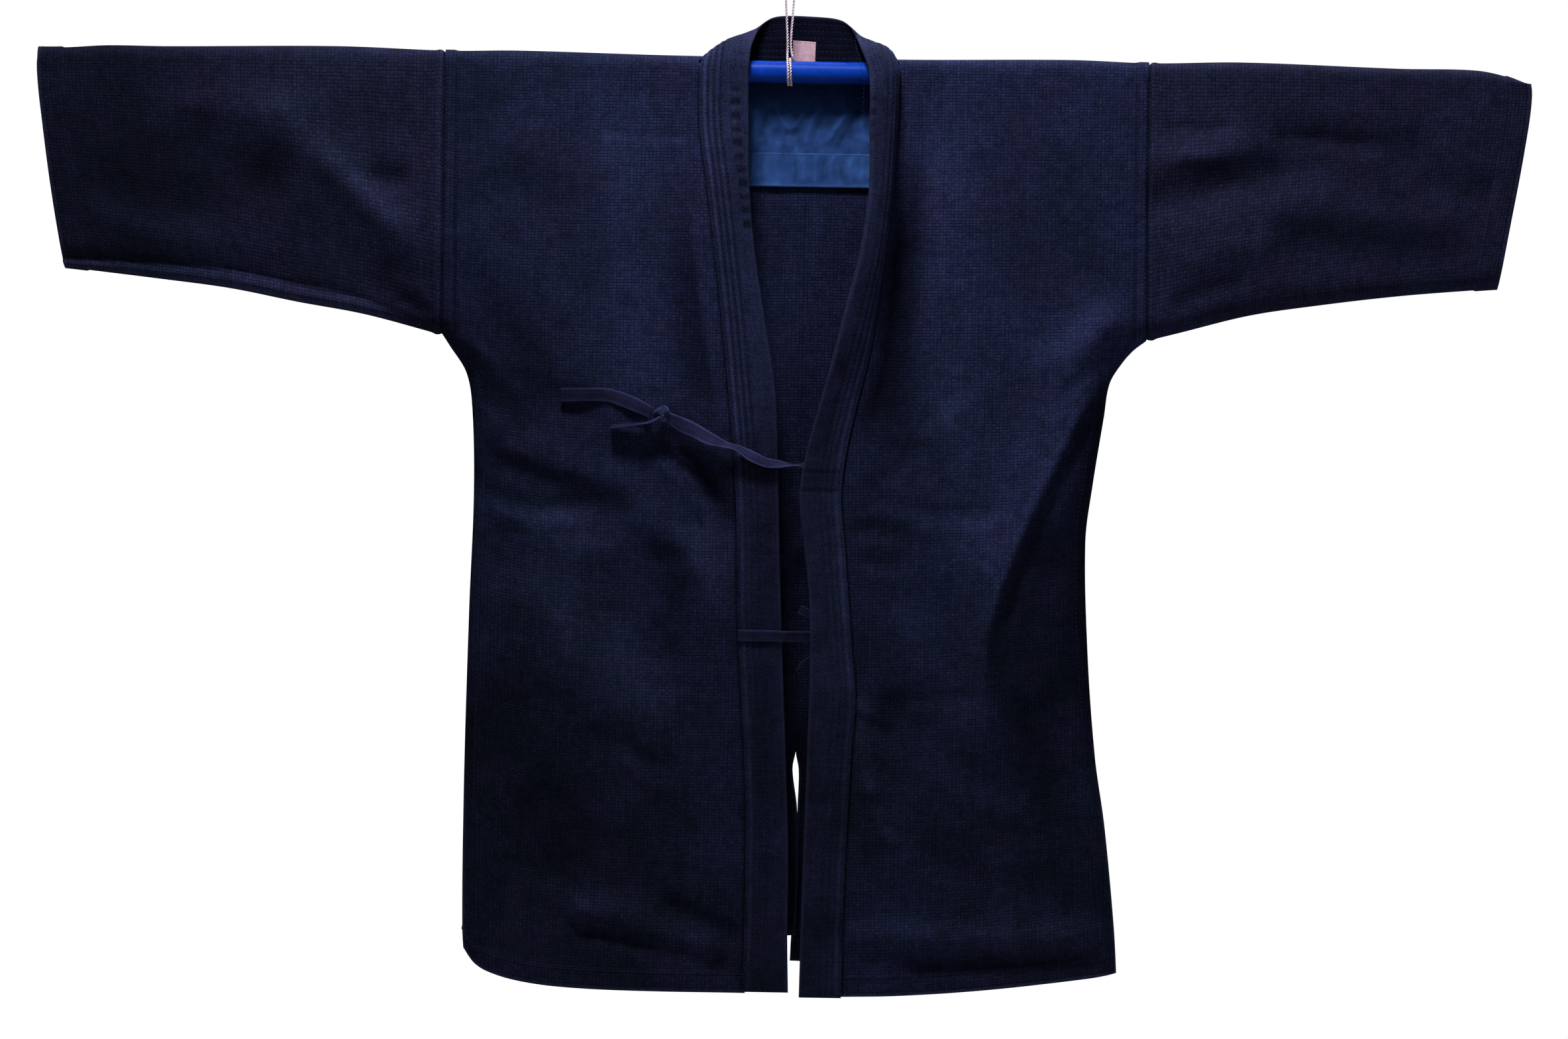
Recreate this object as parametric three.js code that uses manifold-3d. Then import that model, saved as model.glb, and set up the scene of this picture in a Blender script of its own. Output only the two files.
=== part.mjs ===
import * as THREE from "three";
import { mergeVertices } from "three/addons/utils/BufferGeometryUtils.js";
import Module from "manifold-3d";

// An indigo sashiko jacket of straight-cut cloth, hung by its sleeves on a round rod, and the rod on
// a loop of string. Millimetres, +Z up. The front faces -Y, so the wearer's left side is at +X.
// The origin is inside the top of the string loop, where a hook holds it. Every shape below is worked
// out from the rod's axis, which lies along X, HANG_DROP under the origin.

// Driving sizes
const HANG_DROP = 80;
const ROD_RADIUS = 10;
const ROD_FROM = -590;
const ROD_TO = 602;
const ROD_SIDES = 28;
const CLOTH = 2.2;
const COLLAR_THICK = 4.6;
const SEAM_GAP = 0.4;
const COLLAR_GAP = 0.9;
const NECK_GAP = 2;
const COLLAR_PROUD = 1;
const CENTRE_BACK = 17;
const HALF_SEAM = 0.3;
const SIDE_ROLL = 24;
const UNDERARM = { right: -237, left: -232 };
const BACK_VENT_TOP = -603;
const SIDE_VENT_TOP = -645;
const HEM_TURN = 18;
const CUFF_TURN = 22;
const HEM_RAISE = 0.9;
const ARMHOLE_BAND = 10;
const NECK_BACK = 6;
const VENT_SPREAD = 8;
const STRAP_THICK = 1.6;
const STRING_RADIUS = 1.15;
const STRING_SLACK = 0.35;
const STRING_FROM = -1.6;
const STRING_TO = 3.4;
const STRING_TURNS = 2;

// How finely each piece is divided
const BODY_STEP = 29;
const SLEEVE_STEP = 30;
const LINING_STEP = 26;
const EDGE_STEP = 5;
const PANEL_SHARES = [0, 0.09, 0.21, 0.34, 0.47, 0.6, 0.73, 0.84, 0.93, 1];
const UNDERARM_STOPS = [6, 14, 26, 42];
const SLEEVE_DROPS = [0.975, 0.9, 0.78, 0.65, 0.52, 0.39, 0.27, 0.15, 0.06];
const SLEEVE_CAP_ANGLES = [178, 150, 120, 90, 60, 30, 2];
const COLLAR_RINGS = 2;
const COLLAR_SHARES = [0.01, 0.33, 0.66, 0.965];
const KNOT_SIDES = 12;
const STRING_SIDES = 8;
const STRING_STEPS = 110;
const STRING_TURN_STEPS = 12;

// Colours and finishes
const cloth = new THREE.MeshStandardMaterial({ color: 0x1c1e3c, roughness: 0.92 });
const strapCloth = new THREE.MeshStandardMaterial({ color: 0x2b2a52, roughness: 0.9 });
const liningCloth = new THREE.MeshStandardMaterial({ color: 0x1f3f86, roughness: 0.85 });
const labelCloth = new THREE.MeshStandardMaterial({ color: 0xded6dc, roughness: 0.8 });
const rodFinish = new THREE.MeshStandardMaterial({ color: 0x0a2fc0, roughness: 0.3 });
const stringFinish = new THREE.MeshStandardMaterial({ color: 0xead6e6, roughness: 0.5 });

// How far the front and the back stand out from the rod's own plane, at each drop below its axis.
const HANG = [
  { drop: 0, front: 13, back: 13 },
  { drop: 40, front: 15, back: 14.5 },
  { drop: 120, front: 17.5, back: 16.5 },
  { drop: 260, front: 19.5, back: 18 },
  { drop: 450, front: 22, back: 20 },
  { drop: 650, front: 24, back: 21 },
  { drop: 830, front: 24, back: 21 },
];

// The top line of the shoulders and sleeves.
const TOP_LINE = [
  { x: -664, top: 9.5 },
  { x: -635, top: 10.5 },
  { x: -602, top: 12.7 },
  { x: -550, top: 12.8 },
  { x: -400, top: 15.6 },
  { x: -300, top: 13.4 },
  { x: -240, top: 14.6 },
  { x: -100, top: 12.8 },
  { x: 100, top: 12.8 },
  { x: 250, top: 15.2 },
  { x: 320, top: 13.6 },
  { x: 400, top: 15.8 },
  { x: 540, top: 12.8 },
  { x: 605, top: 12.6 },
  { x: 632, top: 8 },
  { x: 656, top: -1 },
];

// The underside of each sleeve, from the cuff to the underarm.
const UNDERSIDE = {
  right: [
    { x: -636, z: -184 },
    { x: -550, z: -193 },
    { x: -490, z: -200 },
    { x: -430, z: -211 },
    { x: -370, z: -221 },
    { x: -302, z: -238 },
  ],
  left: [
    { x: 629, z: -180 },
    { x: 545, z: -188 },
    { x: 470, z: -198 },
    { x: 410, z: -208 },
    { x: 350, z: -224 },
    { x: 320, z: -232 },
  ],
};

// The armhole seam and the cuff's edge of each sleeve.
const ARMHOLE = {
  right: [
    { z: 14, x: -303.5 },
    { z: -100, x: -303 },
    { z: -238, x: -302 },
  ],
  left: [
    { z: 14, x: 318 },
    { z: -100, x: 318.5 },
    { z: -232, x: 320 },
  ],
};
const CUFF = {
  right: [
    { z: 14, x: -662 },
    { z: -10, x: -663.6 },
    { z: -60, x: -657.5 },
    { z: -120, x: -648 },
    { z: -184, x: -636 },
  ],
  left: [
    { z: 14, x: 652 },
    { z: -10, x: 656 },
    { z: -60, x: 650 },
    { z: -120, x: 639.4 },
    { z: -180, x: 629 },
  ],
};

// The side edges, from the underarm to the hem.
const SIDE_SEAM = {
  right: [
    { z: -237, x: -302 },
    { z: -246, x: -296 },
    { z: -270, x: -280.3 },
    { z: -300, x: -274.4 },
    { z: -375, x: -271.5 },
    { z: -480, x: -273.8 },
    { z: -630, x: -275.6 },
    { z: -760, x: -274.6 },
    { z: -800, x: -271 },
  ],
  left: [
    { z: -232, x: 320 },
    { z: -240, x: 309.5 },
    { z: -252, x: 299 },
    { z: -270, x: 288.4 },
    { z: -300, x: 283.8 },
    { z: -360, x: 275 },
    { z: -410, x: 269.5 },
    { z: -510, x: 273.3 },
    { z: -600, x: 281.4 },
    { z: -660, x: 290.8 },
    { z: -750, x: 300.7 },
    { z: -800, x: 304 },
  ],
};

// The front and back hems, from the centre to the side.
const FRONT_HEM = {
  right: [
    { x: -27, z: -813 },
    { x: -130, z: -812.8 },
    { x: -190, z: -810.5 },
    { x: -225, z: -806 },
    { x: -250, z: -799 },
    { x: -264, z: -791 },
    { x: -274, z: -778 },
  ],
  left: [
    { x: 61, z: -815 },
    { x: 110, z: -813.4 },
    { x: 170, z: -808.7 },
    { x: 230, z: -801.7 },
    { x: 290, z: -793 },
    { x: 304, z: -790 },
  ],
};
const BACK_HEM = {
  right: [
    { x: 17, z: -763 },
    { x: -120, z: -772 },
    { x: -274, z: -768 },
  ],
  left: [
    { x: 17, z: -786 },
    { x: 150, z: -789 },
    { x: 304, z: -780 },
  ],
};

// The back vent's two edges below the centre seam. The left one lies behind the right one.
const VENT_EDGE = {
  right: [
    { z: -603, x: 16.6, behind: 0 },
    { z: -616, x: 14.5, behind: 0 },
    { z: -650, x: 19, behind: 0 },
    { z: -700, x: 21, behind: 0 },
    { z: -790, x: 19, behind: 0 },
  ],
  left: [
    { z: -603, x: 17.4, behind: 0 },
    { z: -616, x: 20, behind: 2 },
    { z: -650, x: 19.5, behind: 5 },
    { z: -700, x: 18.5, behind: 6 },
    { z: -790, x: 15, behind: 6 },
  ],
};

// The collar band on each front: its seam with the body, its free edge, how far that edge stands
// out from the front, and how far the band bulges between them.
const COLLAR_FRONT = {
  right: [
    { z: -812, seam: -27, edge: 14, lift: 1, bulge: 0.5 },
    { z: -760, seam: -26, edge: 12.5, lift: 1, bulge: 0.5 },
    { z: -690, seam: -26, edge: 12, lift: 1, bulge: 0.5 },
    { z: -620, seam: -28, edge: 9, lift: 1, bulge: 0.5 },
    { z: -550, seam: -32.5, edge: 5.5, lift: 1, bulge: 0.5 },
    { z: -480, seam: -37, edge: 2, lift: 1, bulge: 0.5 },
    { z: -410, seam: -38.8, edge: -1, lift: 1, bulge: 0.5 },
    { z: -340, seam: -43, edge: -3.5, lift: 1, bulge: 1 },
    { z: -280, seam: -49, edge: -7, lift: 2, bulge: 1 },
    { z: -220, seam: -55.5, edge: -17, lift: 2, bulge: 1.5 },
    { z: -160, seam: -63, edge: -27, lift: 3, bulge: 2 },
    { z: -100, seam: -71, edge: -33, lift: 4, bulge: 2 },
    { z: -50, seam: -78, edge: -34.5, lift: 4, bulge: 2 },
    { z: 0, seam: -79, edge: -35.5, lift: 5, bulge: 1.5 },
  ],
  left: [
    { z: -816, seam: 61, edge: 23.5, lift: 2, bulge: 0.5 },
    { z: -730, seam: 62, edge: 24.5, lift: 2, bulge: 0.5 },
    { z: -650, seam: 64.5, edge: 26, lift: 2, bulge: 0.5 },
    { z: -595, seam: 67, edge: 27, lift: 2, bulge: 1 },
    { z: -553, seam: 69.5, edge: 28, lift: 3, bulge: 3 },
    { z: -510, seam: 65.5, edge: 28, lift: 3, bulge: 2 },
    { z: -460, seam: 61, edge: 26, lift: 3, bulge: 1 },
    { z: -415, seam: 57, edge: 20.5, lift: 3, bulge: 1 },
    { z: -375, seam: 53.3, edge: 16, lift: 4, bulge: 1.5 },
    { z: -335, seam: 57, edge: 21.5, lift: 6, bulge: 2 },
    { z: -290, seam: 66, edge: 33, lift: 9, bulge: 3 },
    { z: -250, seam: 75, edge: 43.5, lift: 13, bulge: 4 },
    { z: -210, seam: 81, edge: 53, lift: 17, bulge: 6 },
    { z: -160, seam: 86.5, edge: 65, lift: 20, bulge: 8 },
    { z: -100, seam: 92, edge: 72.5, lift: 20, bulge: 9 },
    { z: -40, seam: 96, edge: 72, lift: 20, bulge: 9 },
    { z: 0, seam: 96.5, edge: 71, lift: 20, bulge: 9 },
  ],
};

// The collar round the neck, by the angle of its seam over the rod: 180 is the front, 0 the back.
// The body's edge lies a few degrees further back where it is sunk behind the standing collar.
const COLLAR_NECK = [
  { angle: 150, sunk: 0, seam: -78, edgeX: -35, edgeY: -17.5, edgeZ: 9, bulge: 2 },
  { angle: 120, sunk: 0, seam: -75.5, edgeX: -34, edgeY: -13, edgeZ: 20, bulge: 4 },
  { angle: 90, sunk: 2, seam: -71.5, edgeX: -31, edgeY: -5, edgeZ: 30, bulge: 6 },
  { angle: 65, sunk: 4, seam: -64, edgeX: -28, edgeY: 4, edgeZ: 37, bulge: 6 },
  { angle: 52, sunk: 8, seam: -48, edgeX: -21, edgeY: 12, edgeZ: 45, bulge: 4 },
  { angle: 44, sunk: 11, seam: -24, edgeX: -12, edgeY: 17, edgeZ: 49.5, bulge: 2 },
  { angle: 41, sunk: 12, seam: 17, edgeX: 17, edgeY: 18.5, edgeZ: 50.3, bulge: 1 },
  { angle: 44, sunk: 11, seam: 58, edgeX: 45, edgeY: 17, edgeZ: 47.5, bulge: 2 },
  { angle: 52, sunk: 8, seam: 78, edgeX: 54, edgeY: 11, edgeZ: 41, bulge: 4 },
  { angle: 65, sunk: 4, seam: 87, edgeX: 59.5, edgeY: 0, edgeZ: 31, bulge: 6 },
  { angle: 95, sunk: 2, seam: 92.5, edgeX: 63.5, edgeY: -14, edgeZ: 21, bulge: 8 },
  { angle: 115, sunk: 0, seam: 94.3, edgeX: 65.7, edgeY: -20.5, edgeZ: 16, bulge: 9 },
  { angle: 135, sunk: 0, seam: 95.4, edgeX: 67.6, edgeY: -26, edgeZ: 11, bulge: 9 },
  { angle: 157, sunk: 0, seam: 96, edgeX: 69.5, edgeY: -29.5, edgeZ: 6, bulge: 9 },
];

// The largest folds: a soft ridge, or a trough where rise is negative, along the line between two
// places of one face.
const FOLDS = {
  front: [
    { x1: 276, z1: -225, x2: 190, z2: -430, width: 30, rise: 7 },
    { x1: 190, z1: -430, x2: 172, z2: -560, width: 34, rise: 6 },
    { x1: 285, z1: -300, x2: 238, z2: -430, width: 22, rise: -7 },
    { x1: 238, z1: -430, x2: 225, z2: -620, width: 30, rise: -6 },
    { x1: 70, z1: -762, x2: 300, z2: -756, width: 17, rise: 5 },
    { x1: 130, z1: -788, x2: 300, z2: -780, width: 13, rise: -4 },
    { x1: 76, z1: -560, x2: 84, z2: -630, width: 11, rise: 5 },
    { x1: 84, z1: -630, x2: 112, z2: -690, width: 12, rise: 4 },
    { x1: 100, z1: -570, x2: 230, z2: -556, width: 16, rise: -3 },
    { x1: 110, z1: -160, x2: 104, z2: -330, width: 16, rise: -5 },
    { x1: 150, z1: -120, x2: 150, z2: -330, width: 45, rise: 5 },
    { x1: -130, z1: -120, x2: -120, z2: -290, width: 50, rise: 4 },
    { x1: -95, z1: -330, x2: -48, z2: -395, width: 16, rise: -6 },
    { x1: -150, z1: -370, x2: -60, z2: -440, width: 24, rise: 5 },
    { x1: -94, z1: -430, x2: -96, z2: -510, width: 14, rise: -5 },
    { x1: -268, z1: -345, x2: -150, z2: -384, width: 16, rise: -5 },
    { x1: -262, z1: -385, x2: -180, z2: -400, width: 18, rise: 3 },
    { x1: -210, z1: -420, x2: -110, z2: -590, width: 34, rise: 5 },
    { x1: -250, z1: -560, x2: -190, z2: -700, width: 34, rise: -5 },
    { x1: -170, z1: -745, x2: -60, z2: -772, width: 13, rise: 5 },
    { x1: -164, z1: -762, x2: -45, z2: -788, width: 11, rise: -5 },
    { x1: -90, z1: -738, x2: -38, z2: -762, width: 10, rise: -5 },
    { x1: -515, z1: -60, x2: -458, z2: -98, width: 22, rise: -6 },
    { x1: -458, z1: -98, x2: -350, z2: -190, width: 22, rise: -7 },
    { x1: -450, z1: -50, x2: -345, z2: -140, width: 20, rise: 5 },
    { x1: -600, z1: -150, x2: -470, z2: -160, width: 22, rise: 4 },
    { x1: 332, z1: -70, x2: 420, z2: -52, width: 14, rise: 4 },
    { x1: 330, z1: -106, x2: 430, z2: -80, width: 14, rise: -5 },
    { x1: 425, z1: -48, x2: 550, z2: -58, width: 15, rise: -4 },
    { x1: 340, z1: -135, x2: 470, z2: -105, width: 20, rise: 4 },
    { x1: 450, z1: -140, x2: 580, z2: -150, width: 20, rise: -5 },
  ],
  back: [
    { x1: -230, z1: -180, x2: -150, z2: -520, width: 40, rise: 6 },
    { x1: -150, z1: -520, x2: -140, z2: -760, width: 40, rise: 6 },
    { x1: -90, z1: -260, x2: -70, z2: -740, width: 26, rise: -5 },
    { x1: 240, z1: -180, x2: 170, z2: -500, width: 42, rise: 6 },
    { x1: 170, z1: -500, x2: 190, z2: -770, width: 42, rise: 7 },
    { x1: 110, z1: -300, x2: 100, z2: -760, width: 26, rise: -5 },
    { x1: -280, z1: -260, x2: -200, z2: -300, width: 18, rise: 5 },
    { x1: 290, z1: -262, x2: 210, z2: -320, width: 18, rise: 5 },
    { x1: -600, z1: -60, x2: -350, z2: -170, width: 26, rise: 5 },
    { x1: 600, z1: -50, x2: 350, z2: -170, width: 26, rise: 5 },
    { x1: 330, z1: -100, x2: 480, z2: -70, width: 18, rise: -4 },
  ],
};

// The string's two legs: from the top of the loop to the rod, and from the rod to the top again.
const STRING_LOOP = [
  { x: 0.2, y: 0, z: 81.2 },
  { x: -2.3, y: 0, z: 79.4 },
  { x: -3.6, y: 0, z: 73 },
  { x: -2.9, y: 0, z: 50 },
  { x: -1.9, y: 0.2, z: 30 },
  { x: -1.6, y: 0.4, z: 18 },
];
const STRING_RISE = [
  { x: 3.2, y: 0.6, z: 12.4 },
  { x: 1.6, y: 0.4, z: 20 },
  { x: 1.3, y: 0.2, z: 30 },
  { x: 2.6, y: 0, z: 50 },
  { x: 3.6, y: 0, z: 72 },
  { x: 3, y: 0, z: 78 },
];

// The straps. Each row gives the strap's lower and upper edge, and how far each stands off the front.
const CHEST_TIE_RIGHT = [
  { x1: -196, z1: -295, off1: 1.4, x2: -196, z2: -283, off2: 1.4 },
  { x1: -175, z1: -294.5, off1: 1.4, x2: -175, z2: -282.5, off2: 1.4 },
  { x1: -155, z1: -294.5, off1: 1.4, x2: -155, z2: -282.5, off2: 1.4 },
  { x1: -146, z1: -297, off1: 2.6, x2: -146, z2: -284.5, off2: 2.6 },
  { x1: -132, z1: -302.5, off1: 4.5, x2: -130, z2: -290, off2: 4.5 },
  { x1: -116.5, z1: -308.5, off1: 7, x2: -115, z2: -298, off2: 7 },
];
const CHEST_TIE_TAIL = [
  { x1: -108, z1: -308, off1: 13, x2: -107, z2: -303.5, off2: 7 },
  { x1: -118, z1: -312.5, off1: 15, x2: -117, z2: -310.7, off2: 4.5 },
  { x1: -130, z1: -315, off1: 15.5, x2: -130, z2: -313, off2: 4 },
  { x1: -142, z1: -316.4, off1: 14.5, x2: -142, z2: -314, off2: 3 },
  { x1: -152, z1: -318, off1: 12.5, x2: -151, z2: -315, off2: 2 },
];
const CHEST_TIE_LEFT = [
  { x1: -100, z1: -313, off1: 9, x2: -107, z2: -300, off2: 9 },
  { x1: -90, z1: -320, off1: 9.5, x2: -92, z2: -305.5, off2: 9 },
  { x1: -80, z1: -324, off1: 10, x2: -79, z2: -310.5, off2: 8 },
  { x1: -66, z1: -330.5, off1: 12, x2: -59, z2: -322, off2: 8 },
  { x1: -52, z1: -333, off1: 13.5, x2: -46, z2: -329, off2: 7.5 },
  { x1: -42, z1: -335, off1: 13.5, x2: -36, z2: -331.5, off2: 7 },
  { x1: -30, z1: -343.5, off1: 12, x2: -26, z2: -335.5, off2: 6.5 },
  { x1: -15, z1: -349.5, off1: 10.5, x2: -13, z2: -341.5, off2: 6.5 },
  { x1: -3, z1: -351.5, off1: 8.5, x2: -2, z2: -343.5, off2: 6 },
  { x1: 6, z1: -352, off1: 4, x2: 7, z2: -344, off2: 2 },
  { x1: 14, z1: -352.5, off1: -0.5, x2: 15, z2: -343.5, off2: -2 },
  { x1: 26, z1: -353.5, off1: -4.5, x2: 26, z2: -342.5, off2: -4.8 },
  { x1: 44, z1: -354.5, off1: -5.2, x2: 44, z2: -342, off2: -5.2 },
  { x1: 62, z1: -354, off1: -4.6, x2: 62, z2: -341.5, off2: -4.6 },
  { x1: 84, z1: -354, off1: -3.5, x2: 84, z2: -341.5, off2: -3.5 },
];
const INNER_TIE_RIGHT = [
  { x1: -36, z1: -503, off1: 3.9, x2: -36, z2: -493, off2: 3.9 },
  { x1: -21, z1: -503, off1: 4.9, x2: -21, z2: -493, off2: 4.9 },
  { x1: -6, z1: -503, off1: 5.3, x2: -6, z2: -493, off2: 5.3 },
  { x1: 4, z1: -503, off1: 5.2, x2: 4, z2: -493.5, off2: 5.2 },
  { x1: 10, z1: -503, off1: 2, x2: 10, z2: -493.5, off2: 2 },
  { x1: 16, z1: -502.6, off1: -2.5, x2: 16, z2: -493.5, off2: -2.5 },
  { x1: 28, z1: -502.4, off1: -6.5, x2: 28, z2: -493.6, off2: -6.5 },
  { x1: 38, z1: -502, off1: -7.5, x2: 38, z2: -494, off2: -7.5 },
];
const INNER_TAIL_RIGHT = [
  { x1: 38, z1: -502, off1: -7.5, x2: 44, z2: -496, off2: -7.5 },
  { x1: 34, z1: -511, off1: -8, x2: 41, z2: -505, off2: -8 },
  { x1: 27, z1: -520, off1: -8, x2: 33, z2: -512, off2: -8 },
  { x1: 15, z1: -530, off1: -7.5, x2: 20, z2: -520.5, off2: -7.5 },
];
const INNER_TIE_LEFT = [
  { x1: 55, z1: -500, off1: -7.6, x2: 55, z2: -491.5, off2: -7.6 },
  { x1: 66, z1: -502, off1: -5, x2: 66, z2: -492.5, off2: -5 },
  { x1: 84, z1: -503, off1: -3.5, x2: 84, z2: -493, off2: -3.5 },
  { x1: 104, z1: -503, off1: -3.5, x2: 104, z2: -493, off2: -3.5 },
];
const INNER_TAIL_LEFT = [
  { x1: 54, z1: -494, off1: -7.8, x2: 51, z2: -486, off2: -7.8 },
  { x1: 43, z1: -488.5, off1: -8, x2: 42, z2: -481, off2: -8 },
  { x1: 31, z1: -484, off1: -8, x2: 32, z2: -476.5, off2: -8 },
  { x1: 16, z1: -477.5, off1: -7.5, x2: 20, z2: -470.5, off2: -7.5 },
];
const CHEST_KNOT = { x: -106, z: -304.5, off: 8.5, wide: 8, deep: 5.5, tall: 7.5 };
const INNER_KNOT_RIGHT = { x: 40.5, z: -498.5, off: -8, wide: 6, deep: 2.6, tall: 6.5 };
const INNER_KNOT_LEFT = { x: 53, z: -494, off: -7.8, wide: 5.5, deep: 2.6, tall: 6 };

// The lining and its hem band on the inside of the back neck, and the label over it.
const LINING = { from: -54, to: 88, top: -2, bottom: -84, behind: 0.9, thick: 1.3 };
const LINING_BAND = { from: -54, to: 88, top: -71, bottom: -101, behind: 2.6, thick: 1.2 };
const LABEL = { x: 13, wide: 20, top: 28, bottom: 7, back: 11.6, lean: 0.09, thick: 1 };

// The value of a table's column at a place along its key, as a smooth curve through the rows.
function curveAt(rows, key, at, column) {
  const list = rows.at(-1)[key] > rows[0][key] ? rows : [...rows].reverse();
  const last = list.length - 1;
  if (at <= list[0][key]) return list[0][column];
  if (at >= list[last][key]) return list[last][column];
  let i = 0;
  while (at > list[i + 1][key]) i += 1;
  const slope = (n) => {
    const a = list[Math.max(n - 1, 0)];
    const b = list[Math.min(n + 1, last)];
    return (b[column] - a[column]) / (b[key] - a[key]);
  };
  const span = list[i + 1][key] - list[i][key];
  const t = (at - list[i][key]) / span;
  const fromValue = (2 * t ** 3 - 3 * t ** 2 + 1) * list[i][column];
  const toValue = (3 * t ** 2 - 2 * t ** 3) * list[i + 1][column];
  const slopes = (t ** 3 - 2 * t ** 2 + t) * slope(i) + (t ** 3 - t ** 2) * slope(i + 1);
  return fromValue + toValue + span * slopes;
}

const mix = (a, b, t) => a + (b - a) * t;
const clamp = (v, low, high) => Math.min(high, Math.max(low, v));
const smooth = (v) => v * v * (3 - 2 * v);
const turn = (degrees) => (degrees * Math.PI) / 180;
const outward = (side) => (side === "right" ? -1 : 1);

// The shortest distance in the front's plane from (x, z) to the line between two places.
function distanceTo(x, z, x1, z1, x2, z2) {
  const dx = x2 - x1;
  const dz = z2 - z1;
  const t = clamp(((x - x1) * dx + (z - z1) * dz) / (dx * dx + dz * dz), 0, 1);
  return Math.hypot(x - x1 - t * dx, z - z1 - t * dz);
}

function levels(from, to, step) {
  const count = Math.max(1, Math.round(Math.abs(to - from) / step));
  return Array.from({ length: count }, (_, i) => mix(from, to, (i + 1) / count));
}

// The line where the front and the back meet: under the sleeve, then down the side.
function closedEdge(side) {
  const under = UNDERSIDE[side];
  const seam = SIDE_SEAM[side];
  const sleevePart = levels(under[0].x, under.at(-1).x, EDGE_STEP);
  const sidePart = levels(seam[0].z, seam.at(-1).z, EDGE_STEP);
  return [
    ...sleevePart.map((x) => ({ x, z: curveAt(under, "x", x, "z") })),
    ...sidePart.map((z) => ({ x: curveAt(seam, "z", z, "x"), z })),
  ];
}
const CLOSED_EDGE = { right: closedEdge("right"), left: closedEdge("left") };

function fromClosedEdge(x, z) {
  const edge = CLOSED_EDGE[x < CENTRE_BACK ? "right" : "left"];
  return Math.min(...edge.slice(1).map((p, i) => distanceTo(x, z, edge[i].x, edge[i].z, p.x, p.z)));
}

function foldsAt(face, x, z) {
  const each = ({ x1, z1, x2, z2, width, rise }) =>
    rise * Math.exp(-((distanceTo(x, z, x1, z1, x2, z2) / width) ** 2));
  return FOLDS[face].reduce((sum, fold) => sum + each(fold), 0);
}

// The back stands off the rod behind the neck, and eases in again lower down.
const backAtNeck = (x) => NECK_BACK * Math.exp(-(((x - CENTRE_BACK) / 75) ** 4));

// How far the outer face of the front or back stands from the rod's plane at (x, z).
function standOut(face, x, z) {
  const neck = face === "back" ? backAtNeck(x) * (1 - smooth(clamp(-z / 140, 0, 1))) : 0;
  const base = curveAt(HANG, "drop", -z, face) + neck;
  const roll = clamp(fromClosedEdge(x, z) / SIDE_ROLL, 0, 1);
  const round = Math.sqrt(1 - (1 - roll) ** 2);
  const meet = HALF_SEAM + VENT_SPREAD * clamp((SIDE_VENT_TOP - z) / 140, 0, 1);
  const fade = smooth(clamp(-z / 40, 0, 1)) * smooth(roll);
  return meet + (base - meet) * round + foldsAt(face, x, z) * fade;
}

function overRod(x, angle) {
  const reach = Math.cos(turn(angle)) < 0 ? HANG[0].front : HANG[0].back + backAtNeck(x);
  const top = curveAt(TOP_LINE, "x", x, "top");
  return new THREE.Vector3(x, reach * Math.cos(turn(angle)), top * Math.sin(turn(angle)));
}

const frontPoint = (x, z, off = 0) => new THREE.Vector3(x, -standOut("front", x, z) - off, z);
const backPoint = (x, z, off = 0) => new THREE.Vector3(x, standOut("back", x, z) + off, z);

function closedGeometry(points, index) {
  const geometry = new THREE.BufferGeometry().setFromPoints(points);
  geometry.setIndex(index);
  geometry.computeVertexNormals();
  return geometry;
}

// A wall between a grid of outer points and one of inner points. A ring's columns join up.
function wallBetween(outer, inner, ring) {
  const rows = outer.length;
  const cols = outer[0].length;
  const half = rows * cols;
  const index = [];
  const quad = (a, b, c, d) => index.push(a, b, c, a, c, d);
  const at = (i, j) => i * cols + (j % cols);
  const spans = ring ? cols : cols - 1;
  for (let i = 0; i < rows - 1; i += 1) {
    for (let j = 0; j < spans; j += 1) {
      quad(at(i, j), at(i + 1, j), at(i + 1, j + 1), at(i, j + 1));
      quad(half + at(i, j), half + at(i, j + 1), half + at(i + 1, j + 1), half + at(i + 1, j));
    }
  }
  for (let j = 0; j < spans; j += 1) {
    quad(at(0, j), at(0, j + 1), half + at(0, j + 1), half + at(0, j));
    quad(at(rows - 1, j + 1), at(rows - 1, j), half + at(rows - 1, j), half + at(rows - 1, j + 1));
  }
  for (let i = 0; i < rows - 1 && !ring; i += 1) {
    quad(at(i + 1, 0), at(i, 0), half + at(i, 0), half + at(i + 1, 0));
    quad(at(i, cols - 1), at(i + 1, cols - 1), half + at(i + 1, cols - 1), half + at(i, cols - 1));
  }
  return closedGeometry([...outer.flat(), ...inner.flat()], index);
}

// A cloth wall behind a grid of outer points. An edge that is sewn keeps to its seam's plane, and no
// wall crosses the middle plane, where the front and the back meet.
function clothWall(outer, thickness, edgeRule, ring = false) {
  const rows = outer.length;
  const cols = outer[0].length;
  const pick = (j) => (ring ? (j + cols) % cols : clamp(j, 0, cols - 1));
  const inner = outer.map((row, i) =>
    row.map((p, j) => {
      const along = outer[Math.min(i + 1, rows - 1)][j].clone().sub(outer[Math.max(i - 1, 0)][j]);
      const across = row[pick(j + 1)].clone().sub(row[pick(j - 1)]);
      const out = along.cross(across).normalize();
      const flat = edgeRule(i, j, p);
      if (flat) out[flat] = 0;
      const q = p.clone().addScaledVector(out.normalize(), -thickness);
      if (Math.abs(p.y) > 0 && q.y * p.y < HALF_SEAM * Math.abs(p.y)) q.y = Math.sign(p.y) * HALF_SEAM;
      return q;
    }),
  );
  return wallBetween(outer, inner, ring);
}

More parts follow.
